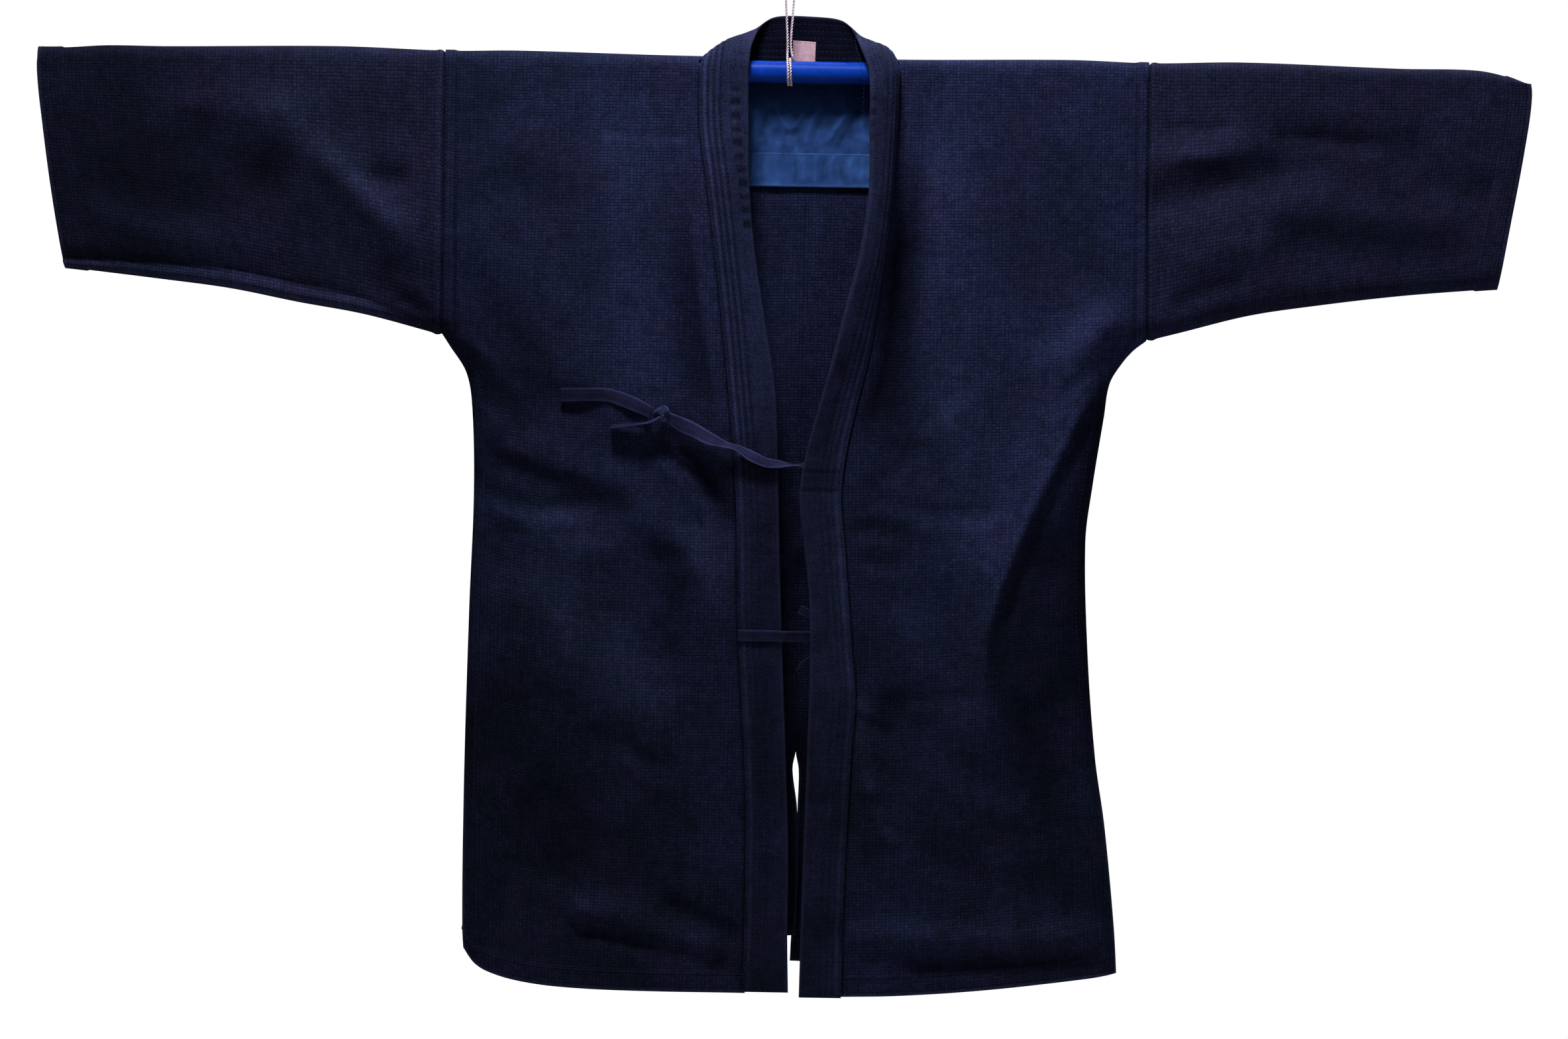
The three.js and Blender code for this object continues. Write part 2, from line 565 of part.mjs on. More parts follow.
// A solid through closed rings of points, with a flat cap at each end.
function tube(rings) {
  const sides = rings[0].length;
  const index = [];
  for (let i = 0; i < rings.length - 1; i += 1) {
    for (let j = 0; j < sides; j += 1) {
      const a = i * sides + j;
      const b = i * sides + ((j + 1) % sides);
      index.push(a, b, b + sides, a, b + sides, a + sides);
    }
  }
  const end = (rings.length - 1) * sides;
  for (let j = 1; j < sides - 1; j += 1) {
    index.push(0, j + 1, j);
    index.push(end, end + j, end + j + 1);
  }
  return closedGeometry(rings.flat(), index);
}

// Body: one length of cloth for each half, from the front hem over the rod to the back hem.
function sideEdge(side, z) {
  if (z < UNDERARM[side]) return curveAt(SIDE_SEAM[side], "z", z, "x");
  return curveAt(ARMHOLE[side], "z", z, "x") - outward(side) * SEAM_GAP;
}

const hemOf = (side, face) => (face === "front" ? FRONT_HEM[side] : BACK_HEM[side]);

function centreEdge(side, face, z) {
  if (face === "front") return curveAt(COLLAR_FRONT[side], "z", z, "seam") + outward(side) * COLLAR_GAP;
  if (z > BACK_VENT_TOP) return CENTRE_BACK + outward(side) * SEAM_GAP;
  return curveAt(VENT_EDGE[side], "z", z, "x");
}

// The turned hem and the felled armhole are second layers of cloth, so they stand proud.
function bodyRaise(side, aboveHem, x, z) {
  const hem = clamp((HEM_TURN + 1 - aboveHem) / 2, 0, 1);
  const fromArmhole = Math.abs(sideEdge(side, z) - x);
  const felled = z > UNDERARM[side] ? clamp((ARMHOLE_BAND + 1 - fromArmhole) / 2, 0, 1) : 0;
  return HEM_RAISE * Math.max(hem, felled);
}

// Where the columns of a panel stand, from its centre edge to its side edge.
function panelColumns(side, inner, outer) {
  const band = outward(side) * ARMHOLE_BAND;
  const beforeBand = outer - 1.15 * band;
  return [...PANEL_SHARES.map((share) => mix(inner, beforeBand, share)), outer - 0.9 * band, outer];
}

// One row of a front or back panel, where share is 0 on the rod's level and 1 at the hem.
function panelRow(side, face, share) {
  const hem = hemOf(side, face);
  const level = hem[0].z * share;
  const inner = centreEdge(side, face, level);
  const outer = sideEdge(side, hem.at(-1).z * share);
  const vented = face === "back" && level < BACK_VENT_TOP;
  const behind = vented ? curveAt(VENT_EDGE[side], "z", level, "behind") : 0;
  return panelColumns(side, inner, outer).map((x) => {
    const across = (x - inner) / (outer - inner);
    const edge = curveAt(hem, "x", mix(hem[0].x, hem.at(-1).x, across), "z");
    const z = edge * share;
    const raise = bodyRaise(side, z - edge, x, z);
    if (face === "front") return frontPoint(x, z, raise);
    return backPoint(x, z, raise + behind * (1 - across));
  });
}

// The shares of a panel's rows: finer at the underarm and at the turned hem.
function panelShares(side, face) {
  const hem = hemOf(side, face);
  const underarm = -UNDERARM[side];
  const atSide = (depth) => depth / -hem.at(-1).z;
  const atCentre = (depth) => depth / -hem[0].z;
  const upper = [0, ...levels(0, underarm - 12, BODY_STEP), underarm - 1].map(atSide);
  const corner = UNDERARM_STOPS.map((below) => atSide(underarm + below));
  const stops = face === "front" ? [] : [atCentre(-BACK_VENT_TOP - 1)];
  const lower = [...stops, atCentre(-hem[0].z - HEM_TURN - 1)].reduce(
    (list, share) => [...list, ...levels(list.at(-1), share, atCentre(BODY_STEP))],
    [corner.at(-1)],
  );
  return [...upper, ...corner, ...lower.slice(1), atCentre(-hem[0].z - HEM_TURN + 1), 1];
}

function capRow(side, angle, neckSeam) {
  const outer = sideEdge(side, 0);
  const columns = panelColumns(side, neckSeam + outward(side) * NECK_GAP, outer);
  return columns.map((x) => {
    const p = overRod(x, angle);
    const raise = bodyRaise(side, Infinity, x, p.z);
    return p.addScaledVector(p.clone().setX(0).normalize(), raise);
  });
}

function bodyPanel(side) {
  const neck = COLLAR_NECK.filter(({ seam }) => outward(side) * (seam - CENTRE_BACK) >= 0);
  const fromFront = side === "right" ? neck : neck.reverse();
  const cap = fromFront.map(({ angle, seam, sunk }) => capRow(side, angle - sunk, seam));
  const rows = [
    ...panelShares(side, "front").reverse().map((share) => panelRow(side, "front", share)),
    ...cap,
    ...panelShares(side, "back").map((share) => panelRow(side, "back", share)),
  ];
  const outer = side === "left" ? rows.map((row) => [...row].reverse()) : rows;
  const last = outer[0].length - 1;
  const sideColumn = side === "left" ? 0 : last;
  const centreColumn = last - sideColumn;
  const rule = (i, j, p) => {
    if (j === centreColumn) return "x";
    if (j !== sideColumn || p.z < SIDE_VENT_TOP) return null;
    return p.z > UNDERARM[side] ? "x" : "y";
  };
  return clothWall(outer, CLOTH, rule);
}

// Sleeves: a tube of cloth from the armhole seam to the cuff, closed along its underside.
function sleeveRing(side, share, raised) {
  const low = mix(ARMHOLE[side].at(-1).x, CUFF[side].at(-1).x, share);
  const under = curveAt(UNDERSIDE[side], "x", low, "z");
  const seam = (z) => curveAt(ARMHOLE[side], "z", z, "x") + outward(side) * SEAM_GAP;
  const place = (z) => mix(seam(z), curveAt(CUFF[side], "z", z, "x"), share);
  const front = SLEEVE_DROPS.map((d) => frontPoint(place(under * d), under * d));
  const cap = SLEEVE_CAP_ANGLES.map((angle) => overRod(place(0), angle));
  const back = [...SLEEVE_DROPS].reverse().map((d) => backPoint(place(under * d), under * d));
  const ring = [new THREE.Vector3(place(under), 0, under), ...front, ...cap, ...back];
  const middle = new THREE.Vector3(0, 0, under / 2);
  return ring.map((p) => p.addScaledVector(p.clone().sub(middle).setX(0).normalize(), raised));
}

function sleeve(side) {
  const length = Math.abs(CUFF[side][1].x - ARMHOLE[side][1].x);
  const stations = [
    { at: 0, raised: 0 },
    ...levels(0, length - CUFF_TURN - 1, SLEEVE_STEP).map((at) => ({ at, raised: 0 })),
    { at: length - CUFF_TURN + 1, raised: HEM_RAISE },
    { at: length, raised: HEM_RAISE },
  ];
  const rings = stations.map(({ at, raised }) => sleeveRing(side, at / length, raised));
  const outer = side === "right" ? rings.map((ring) => [...ring].reverse()) : rings;
  return clothWall(outer, CLOTH, (i) => (i === 0 ? "x" : null), true);
}

// Collar: one folded band from the right hem, round the neck, to the left hem.
function collarStations() {
  const onFront = (side) => (row) => ({
    seam: frontPoint(row.seam, row.z, COLLAR_PROUD - CLOTH / 2),
    edge: frontPoint(row.edge, row.z, COLLAR_PROUD - CLOTH / 2 + row.lift),
    bulge: row.bulge,
  });
  const roundNeck = COLLAR_NECK.map((row) => {
    const outer = overRod(row.seam, row.angle);
    const inward = new THREE.Vector3(0, -outer.y, -outer.z).setLength(CLOTH / 2 - COLLAR_PROUD);
    const edge = new THREE.Vector3(row.edgeX, row.edgeY, row.edgeZ);
    return { seam: outer.add(inward), edge, bulge: row.bulge };
  });
  return [
    ...COLLAR_FRONT.right.map(onFront("right")),
    ...roundNeck,
    ...[...COLLAR_FRONT.left].reverse().map(onFront("left")),
  ];
}

function collar() {
  const stations = collarStations().map((station, i) => ({ ...station, i }));
  const seams = new THREE.CatmullRomCurve3(stations.map((s) => s.seam), false, "centripetal");
  const edges = new THREE.CatmullRomCurve3(stations.map((s) => s.edge), false, "centripetal");
  const last = stations.length - 1;
  const count = last * COLLAR_RINGS;
  const rings = Array.from({ length: count + 1 }, (_, k) => {
    const t = k / count;
    const seam = seams.getPoint(t);
    const width = edges.getPoint(t).sub(seam);
    const ahead = seams.getPoint(Math.min(1, t + 1e-3)).sub(seams.getPoint(Math.max(0, t - 1e-3)));
    const out = width.clone().cross(ahead).normalize();
    const bulge = curveAt(stations, "i", t * last, "bulge");
    const at = (share, face) => {
      const lift = 4 * share * (1 - share) * bulge + (face * COLLAR_THICK) / 2;
      return seam.clone().addScaledVector(width, share).addScaledVector(out, lift);
    };
    const outerFace = COLLAR_SHARES.map((share) => at(share, 1));
    const innerFace = [...COLLAR_SHARES].reverse().map((share) => at(share, -1));
    return [...outerFace, at(1, 0), ...innerFace];
  });
  return tube(rings);
}

// Strap: a flat solid through the rows of its two edges.
function strap(rows, thickness = STRAP_THICK) {
  const lower = rows.map(({ x1, z1, off1 }) => frontPoint(x1, z1, off1));
  const upper = rows.map(({ x2, z2, off2 }) => frontPoint(x2, z2, off2));
  const rings = rows.map((row, i) => {
    const a = lower[i];
    const b = upper[i];
    const middle = (k) => lower[k].clone().add(upper[k]).divideScalar(2);
    const along = middle(Math.min(i + 1, rows.length - 1)).sub(middle(Math.max(i - 1, 0)));
    const out = along.cross(b.clone().sub(a)).setLength(thickness / 2);
    return [a.clone().add(out), a.clone().sub(out), b.clone().sub(out), b.clone().add(out)];
  });
  return tube(rings);
}

function knot({ x, z, off, wide, deep, tall }) {
  const middle = frontPoint(x, z, off);
  return new THREE.SphereGeometry(1, KNOT_SIDES, KNOT_SIDES / 2)
    .scale(wide, deep, tall)
    .translate(middle.x, middle.y, middle.z);
}

// A flat piece on the inside of the back, one cloth and one gap in front of it.
function liningSheet({ from, to, top, bottom, behind, thick }) {
  const columns = [from, ...levels(from, to, LINING_STEP)];
  const rows = [top, ...levels(top, bottom, LINING_STEP)];
  const face = (z, depth) => columns.map((x) => backPoint(x, z, -CLOTH - behind - depth));
  const outer = rows.map((z) => face(z, 0));
  const inner = rows.map((z) => face(z, thick));
  return wallBetween(inner, outer, false);
}

function label({ x, wide, top, bottom, back, lean, thick }) {
  const rows = [bottom, (bottom + top) / 2, top];
  const face = (z, depth) =>
    [x - wide / 2, x + wide / 2].map((at) => new THREE.Vector3(at, back + lean * (z - bottom) - depth, z));
  return wallBetween(rows.map((z) => face(z, thick)).reverse(), rows.map((z) => face(z, 0)).reverse(), false);
}

function rod() {
  const length = ROD_TO - ROD_FROM;
  return new THREE.CylinderGeometry(ROD_RADIUS, ROD_RADIUS, length, ROD_SIDES)
    .rotateZ(turn(90))
    .translate((ROD_TO + ROD_FROM) / 2, 0, 0);
}

// String: twice round the rod, up to the hook and down again.
function string() {
  const reach = ROD_RADIUS + STRING_RADIUS + STRING_SLACK;
  const windings = Array.from({ length: STRING_TURNS * STRING_TURN_STEPS + 1 }, (_, i) => {
    const angle = turn(90) + (i / STRING_TURN_STEPS) * 2 * Math.PI;
    const x = mix(STRING_FROM, STRING_TO, i / (STRING_TURNS * STRING_TURN_STEPS));
    return new THREE.Vector3(x, reach * Math.cos(angle), reach * Math.sin(angle));
  });
  const leg = (rows) => rows.map(({ x, y, z }) => new THREE.Vector3(x, y, z));
  const points = [...leg(STRING_LOOP), ...windings.slice(2, -1), ...leg(STRING_RISE)];
  const path = new THREE.CatmullRomCurve3(points, false, "centripetal");
  const section = new THREE.Shape().absarc(0, 0, STRING_RADIUS, 0, 2 * Math.PI);
  return new THREE.ExtrudeGeometry(section, {
    extrudePath: path,
    steps: STRING_STEPS,
    curveSegments: STRING_SIDES / 2,
    bevelEnabled: false,
  });
}

// Joins closed geometries into one solid.
const wasm = await Module();
wasm.setup();

function solidOf(geometry) {
  const bare = geometry.clone();
  bare.deleteAttribute("normal");
  bare.deleteAttribute("uv");
  const merged = mergeVertices(bare, 1e-4);
  const triVerts = new Uint32Array(merged.index.array);
  const vertProperties = merged.attributes.position.array;
  return new wasm.Manifold(new wasm.Mesh({ numProp: 3, vertProperties, triVerts }));
}

function joined(...geometries) {
  const mesh = geometries.map(solidOf).reduce((whole, piece) => whole.add(piece)).getMesh();
  const geometry = new THREE.BufferGeometry();
  geometry.setAttribute("position", new THREE.BufferAttribute(mesh.vertProperties, 3));
  geometry.setIndex(new THREE.BufferAttribute(mesh.triVerts, 1));
  return geometry;
}

const tie = (rows, lump, tail) => joined(strap(rows), knot(lump), strap(tail));

const group = new THREE.Group();
const hung = new THREE.Group();
hung.position.z = -HANG_DROP;
group.add(hung);

function add(name, geometry, material) {
  const mesh = new THREE.Mesh(geometry, material);
  mesh.name = name;
  hung.add(mesh);
}

add("body_right", bodyPanel("right"), cloth);
add("body_left", bodyPanel("left"), cloth);
add("sleeve_right", sleeve("right"), cloth);
add("sleeve_left", sleeve("left"), cloth);
add("collar", collar(), cloth);
add("neck_lining", liningSheet(LINING), liningCloth);
add("neck_lining_band", liningSheet(LINING_BAND), liningCloth);
add("neck_label", label(LABEL), labelCloth);
add("chest_tie_right", strap(CHEST_TIE_RIGHT), strapCloth);
add("chest_tie_left", tie(CHEST_TIE_LEFT, CHEST_KNOT, CHEST_TIE_TAIL), strapCloth);
add("inner_tie_right", tie(INNER_TIE_RIGHT, INNER_KNOT_RIGHT, INNER_TAIL_RIGHT), strapCloth);
add("inner_tie_left", tie(INNER_TIE_LEFT, INNER_KNOT_LEFT, INNER_TAIL_LEFT), strapCloth);
add("rod", rod(), rodFinish);
add("hanging_string", string(), stringFinish);

export default group;
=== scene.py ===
# %% [markdown]
# # An indigo sashiko jacket on a rod
# The real jacket is cut straight from narrow indigo cotton with a raised grain woven in. Two long
# pieces make the body, two tubes make the sleeves, and one folded band runs from hem to hem round the
# neck. It hangs open on a blue rod that passes through both sleeves. This lesson makes each piece as
# a fine grid that is moved, point by point, to the place that the cutter's sizes give it.

# %% The fixed frame
import math
from functools import partial

import bmesh
import bpy
import numpy as np
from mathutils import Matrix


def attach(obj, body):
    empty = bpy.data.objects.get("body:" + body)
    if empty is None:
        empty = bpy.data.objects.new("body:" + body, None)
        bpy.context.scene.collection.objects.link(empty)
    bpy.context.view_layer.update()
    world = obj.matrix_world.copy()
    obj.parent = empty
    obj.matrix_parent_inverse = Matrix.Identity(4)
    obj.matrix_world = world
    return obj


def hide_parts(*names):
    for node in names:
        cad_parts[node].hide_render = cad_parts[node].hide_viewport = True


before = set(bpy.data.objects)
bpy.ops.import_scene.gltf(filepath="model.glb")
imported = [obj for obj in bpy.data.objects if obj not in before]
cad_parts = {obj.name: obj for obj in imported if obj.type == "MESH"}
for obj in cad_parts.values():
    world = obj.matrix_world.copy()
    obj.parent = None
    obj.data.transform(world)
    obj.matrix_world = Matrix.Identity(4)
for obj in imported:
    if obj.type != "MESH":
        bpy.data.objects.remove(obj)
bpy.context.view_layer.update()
print("pieces in the frame:", sorted(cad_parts))

# %% [markdown]
# ## The camera
# The photograph looks straight at the jacket and stands a little crooked. A long lens from far away
# gives the same flat look. The view is as wide as the photograph is at the cloth, so that the lens
# follows from the distance, and the small tilt is a turn of the camera about its own line of sight.

# %% Camera
VIEW_WIDTH = 1.3821
VIEW_CENTRE_X = 0.0029
VIEW_CENTRE_Z = -0.4753
CLOTH_PLANE = -0.022
CAMERA_AWAY = 9.0
CAMERA_TILT = 1.05

camera_data = bpy.data.cameras.new("camera")
camera_data.sensor_width = 36
camera_data.lens = camera_data.sensor_width * (CAMERA_AWAY + CLOTH_PLANE) / VIEW_WIDTH
camera = bpy.data.objects.new("camera", camera_data)
camera.location = (VIEW_CENTRE_X, -CAMERA_AWAY, VIEW_CENTRE_Z)
camera.rotation_euler = (math.radians(90), math.radians(-CAMERA_TILT), 0)
bpy.context.scene.collection.objects.link(camera)
bpy.context.scene.camera = camera
print("lens in millimetres:", round(camera_data.lens, 1))

# %% [markdown]
# ## The studio
# Dark cloth shows its folds only where one side is lit more than the other. A white room gives a
# little even light from all round, and a small lamp close above the front rakes down the cloth, so that
# each fold has a lit and a shaded side. A weak lamp at the right fills the shade, and another does for
# the back what the first does for the front. The camera sees the room as plain white.

# %% Room, lamps and floor
ROOM_LIGHT = 0.068
LAMPS = {
    "key": {"at": (-0.22, -0.68, 1.02), "aim": (0.04, 0, -0.45), "size": 0.3, "watts": 24},
    "fill": {"at": (1.2, -2.4, 0.1), "aim": (0, 0, -0.4), "size": 1.6, "watts": 4.4},
    "back": {"at": (0.35, 0.65, 1.05), "aim": (0, 0, -0.45), "size": 0.4, "watts": 23},
}
FLOOR_LEVEL = -1.25
FLOOR_RADIUS = 1.4


def aim(thing, target):
    """Turns a lamp so that it shines at a place."""
    from_lamp = [target[i] - thing.location[i] for i in range(3)]
    flat = math.hypot(from_lamp[0], from_lamp[1])
    thing.rotation_euler = (math.atan2(flat, -from_lamp[2]), 0, math.atan2(-from_lamp[0], from_lamp[1]))


room = bpy.data.worlds.new("white room")
room.use_nodes = True
room_tree = room.node_tree
room_tree.nodes.clear()
lighting = room_tree.nodes.new("ShaderNodeBackground")
lighting.inputs["Color"].default_value = (0.96, 0.98, 1, 1)
lighting.inputs["Strength"].default_value = ROOM_LIGHT
backdrop = room_tree.nodes.new("ShaderNodeBackground")
backdrop.inputs["Color"].default_value = (1, 1, 1, 1)
seen = room_tree.nodes.new("ShaderNodeLightPath")
choice = room_tree.nodes.new("ShaderNodeMixShader")
sky = room_tree.nodes.new("ShaderNodeOutputWorld")
room_tree.links.new(seen.outputs["Is Camera Ray"], choice.inputs[0])
room_tree.links.new(lighting.outputs[0], choice.inputs[1])
room_tree.links.new(backdrop.outputs[0], choice.inputs[2])
room_tree.links.new(choice.outputs[0], sky.inputs["Surface"])
bpy.context.scene.world = room
bpy.context.scene.view_settings.view_transform = "Standard"

for lamp_name, lamp in LAMPS.items():
    lamp_data = bpy.data.lights.new(lamp_name, "AREA")
    lamp_data.size = lamp["size"]
    lamp_data.energy = lamp["watts"]
    lamp_object = bpy.data.objects.new(lamp_name, lamp_data)
    lamp_object.location = lamp["at"]
    aim(lamp_object, lamp["aim"])
    bpy.context.scene.collection.objects.link(lamp_object)

floor_bm = bmesh.new()
bmesh.ops.create_circle(floor_bm, cap_ends=True, radius=FLOOR_RADIUS, segments=96)
bmesh.ops.translate(floor_bm, verts=floor_bm.verts, vec=(0, 0, FLOOR_LEVEL))
floor_mesh = bpy.data.meshes.new("floor")
floor_bm.to_mesh(floor_mesh)
floor_bm.free()
floor = bpy.data.objects.new("floor", floor_mesh)
bpy.context.scene.collection.objects.link(floor)

# %% [markdown]
# ## The cutter's tables
# Every size here is in millimetres from the middle of the rod, as a maker would measure it on the
# hanging garment. The rod hangs under the top of its string loop, which is the frame's own origin,
# so one function turns these sizes into metres in the frame.

# %% Sizes and how tables are read
MM = 0.001
HANG_DROP = 80
ROD_RADIUS = 10
CLOTH = 2
SOLID_CLOTH = 2.2
COLLAR_THICK = 4.6
CENTRE_BACK = 17
COLLAR_TUCK = 2.6
TUCK_RAMP = 6
TUCK_LIFT = 1
SLEEVE_TUCK = 1.2
SEAM_SINK = 1.5
SEAM_WIDE = 1.5
NECK_GAP = 2
COLLAR_PROUD = 1
HALF_SEAM = 0.12
SIDE_LAP = {"from": -242, "ramp": 4, "reach": 0.5, "half": -0.08}
SIDE_ROLL = 24
UNDERARM = {"right": -237, "left": -232}
BACK_VENT_TOP = -603
SIDE_VENT_TOP = -645
VENT_SPREAD = 8
NECK_BACK = 6
NECK_FADE = 140
TOP_FADE = 40
VENT_RUN = 140
STITCH_LIFT = 0.12
HEM_GATHER = 0.32
BAND_GATHER = 0.30
# Painted shade: the whole back's colour is darker, for its inner face in shade behind the front.
BACK_PAINTED_SHADE = 0.86
SIDES = ("right", "left")
FACES = ("front", "back")
HEM_TURN = 18
CUFF_TURN = 22
HEM_RAISE = 0.9
ARMHOLE_BAND = 10


def table(columns, *rows):
    """A table with named columns, from its rows."""
    return {name: np.array(values, float) for name, values in zip(columns.split(), zip(*rows))}


def curve(rows, key, column, at):
    """The value of a table's column at places along its key, as a smooth curve through the rows."""
    order = np.argsort(rows[key])
    places, values = rows[key][order], rows[column][order]
    slopes = np.empty_like(values)
    slopes[1:-1] = (values[2:] - values[:-2]) / (places[2:] - places[:-2])
    slopes[0] = (values[1] - values[0]) / (places[1] - places[0])
    slopes[-1] = (values[-1] - values[-2]) / (places[-1] - places[-2])
    at = np.clip(at, places[0], places[-1])
    i = np.clip(np.searchsorted(places, at, side="right") - 1, 0, len(places) - 2)
    span = places[i + 1] - places[i]
    t = (at - places[i]) / span
    from_value = (2 * t**3 - 3 * t**2 + 1) * values[i]
    to_value = (3 * t**2 - 2 * t**3) * values[i + 1]
    bends = (t**3 - 2 * t**2 + t) * slopes[i] + (t**3 - t**2) * slopes[i + 1]
    return from_value + to_value + span * bends


def mix(a, b, t):
    return a + (b - a) * t


def smooth(v):
    """A soft step from 0 to 1."""
    v = np.clip(v, 0, 1)
    return v * v * (3 - 2 * v)


def bell(v):
    """1 at 0, and falling softly to nothing on both sides."""
    return np.exp(-(v**2))


def unit(vectors, least=1e-9):
    """Each row made one long."""
    return vectors / np.maximum(np.linalg.norm(vectors, axis=1), least)[:, None]


def run_along(points):
    """How far each point of a path is from its first, along it."""
    return np.append(0, np.cumsum(np.linalg.norm(np.diff(points, axis=0), axis=1)))


def at_run(at, run, points):
    """The points at some distances along a path."""
    return np.column_stack([np.interp(at, run, points[:, k]) for k in range(3)])


def outward(side):
    """The wearer's right is at -X."""
    return -1 if side == "right" else 1


HANG = table("drop front back",
             (0, 13, 13), (40, 15, 14.5), (120, 17.5, 16.5), (260, 19.5, 18),
             (450, 22, 20), (650, 24, 21), (830, 24, 21))
TOP_LINE = table("x top",
                 (-664, 9.5), (-635, 10.5), (-602, 12.7), (-550, 12.8), (-400, 15.6), (-300, 13.4),
                 (-240, 14.6), (-100, 12.8), (100, 12.8), (250, 15.2), (320, 13.6), (400, 15.8),
                 (540, 12.8), (605, 12.6), (632, 8), (656, -1))
UNDERSIDE = {
    "right": table("x z", (-636, -184), (-550, -193), (-490, -200), (-430, -211), (-370, -221),
                   (-302, -238)),
    "left": table("x z", (629, -180), (545, -188), (470, -198), (410, -208), (350, -224), (320, -232)),
}
ARMHOLE = {
    "right": table("z x", (14, -303.5), (-100, -303), (-238, -302)),
    "left": table("z x", (14, 318), (-100, 318.5), (-232, 320)),
}
CUFF = {
    "right": table("z x", (14, -662), (-10, -663.6), (-60, -657.5), (-120, -648), (-184, -636)),
    "left": table("z x", (14, 652), (-10, 656), (-60, 650), (-120, 639.4), (-180, 629)),
}
SIDE_SEAM = {
    "right": table("z x", (-237, -302), (-246, -296), (-270, -280.3), (-300, -274.4), (-375, -271.5),
                   (-480, -273.8), (-630, -275.6), (-760, -274.6), (-800, -271)),
    "left": table("z x", (-232, 320), (-240, 309.5), (-252, 299), (-270, 288.4), (-300, 283.8),
                  (-360, 275), (-410, 269.5), (-510, 273.3), (-600, 281.4), (-660, 290.8),
                  (-750, 300.7), (-800, 304)),
}
HEM = {
    "front": {
        "right": table("x z", (-27, -813), (-130, -812.8), (-190, -810.5), (-225, -806), (-250, -799),
                       (-264, -791), (-274, -778)),
        "left": table("x z", (61, -815), (110, -813.4), (170, -808.7), (230, -801.7), (290, -793),
                      (304, -790)),
    },
    "back": {
        "right": table("x z", (17, -763), (-120, -772), (-274, -768)),
        "left": table("x z", (17, -786), (150, -789), (304, -780)),
    },
}
VENT_EDGE = {
    "right": table("z x behind", (-603, 16.6, 0), (-616, 14.5, 0), (-650, 19, 0), (-700, 21, 0),
                   (-790, 19, 0)),
    "left": table("z x behind", (-603, 17.4, 0), (-616, 20, 2), (-650, 19.5, 5), (-700, 18.5, 6),
                  (-790, 15, 6)),
}
COLLAR_FRONT = {
    "right": table("z seam edge lift bulge",
                   (-812, -27, 14, 1, 0.5), (-760, -26, 12.5, 1, 0.5), (-690, -26, 12, 1, 0.5),
                   (-620, -28, 9, 1, 0.5), (-550, -32.5, 5.5, 1, 0.5), (-480, -37, 2, 1, 0.5),
                   (-410, -38.8, -1, 1, 0.5), (-340, -43, -3.5, 1, 1), (-280, -49, -7, 2, 1),
                   (-220, -55.5, -17, 2, 1.5), (-160, -63, -27, 3, 2), (-100, -71, -33, 4, 2),
                   (-50, -78, -34.5, 4, 2), (0, -79, -35.5, 5, 1.5)),
    "left": table("z seam edge lift bulge",
                  (-816, 61, 23.5, 2, 0.5), (-730, 62, 24.5, 2, 0.5), (-650, 64.5, 26, 2, 0.5),
                  (-595, 67, 27, 2, 1), (-553, 69.5, 28, 3, 3), (-510, 65.5, 28, 3, 2),
                  (-460, 61, 26, 3, 1), (-415, 57, 20.5, 3, 1), (-375, 53.3, 16, 4, 1.5),
                  (-335, 57, 21.5, 6, 2), (-290, 66, 33, 9, 3), (-250, 75, 43.5, 13, 4),
                  (-210, 81, 53, 17, 6), (-160, 86.5, 65, 20, 8), (-100, 92, 72.5, 20, 9),
                  (-40, 96, 72, 20, 9), (0, 96.5, 71, 20, 9)),
}
COLLAR_NECK = table("angle sunk seam edge_x edge_y edge_z bulge",
                    (150, 0, -78, -35, -17.5, 9, 2), (120, 0, -75.5, -34, -13, 20, 4),
                    (90, 2, -71.5, -31, -5, 30, 6), (65, 4, -64, -28, 4, 37, 6),
                    (52, 8, -48, -21, 12, 45, 4), (44, 11, -24, -12, 17, 49.5, 2),
                    (41, 12, 17, 17, 18.5, 50.3, 1), (44, 11, 58, 45, 17, 47.5, 2),
                    (52, 8, 78, 54, 11, 41, 4), (65, 4, 87, 59.5, 0, 31, 6),
                    (95, 2, 92.5, 63.5, -14, 21, 8), (115, 0, 94.3, 65.7, -20.5, 16, 9),
                    (135, 0, 95.4, 67.6, -26, 11, 9), (157, 0, 96, 69.5, -29.5, 6, 9))
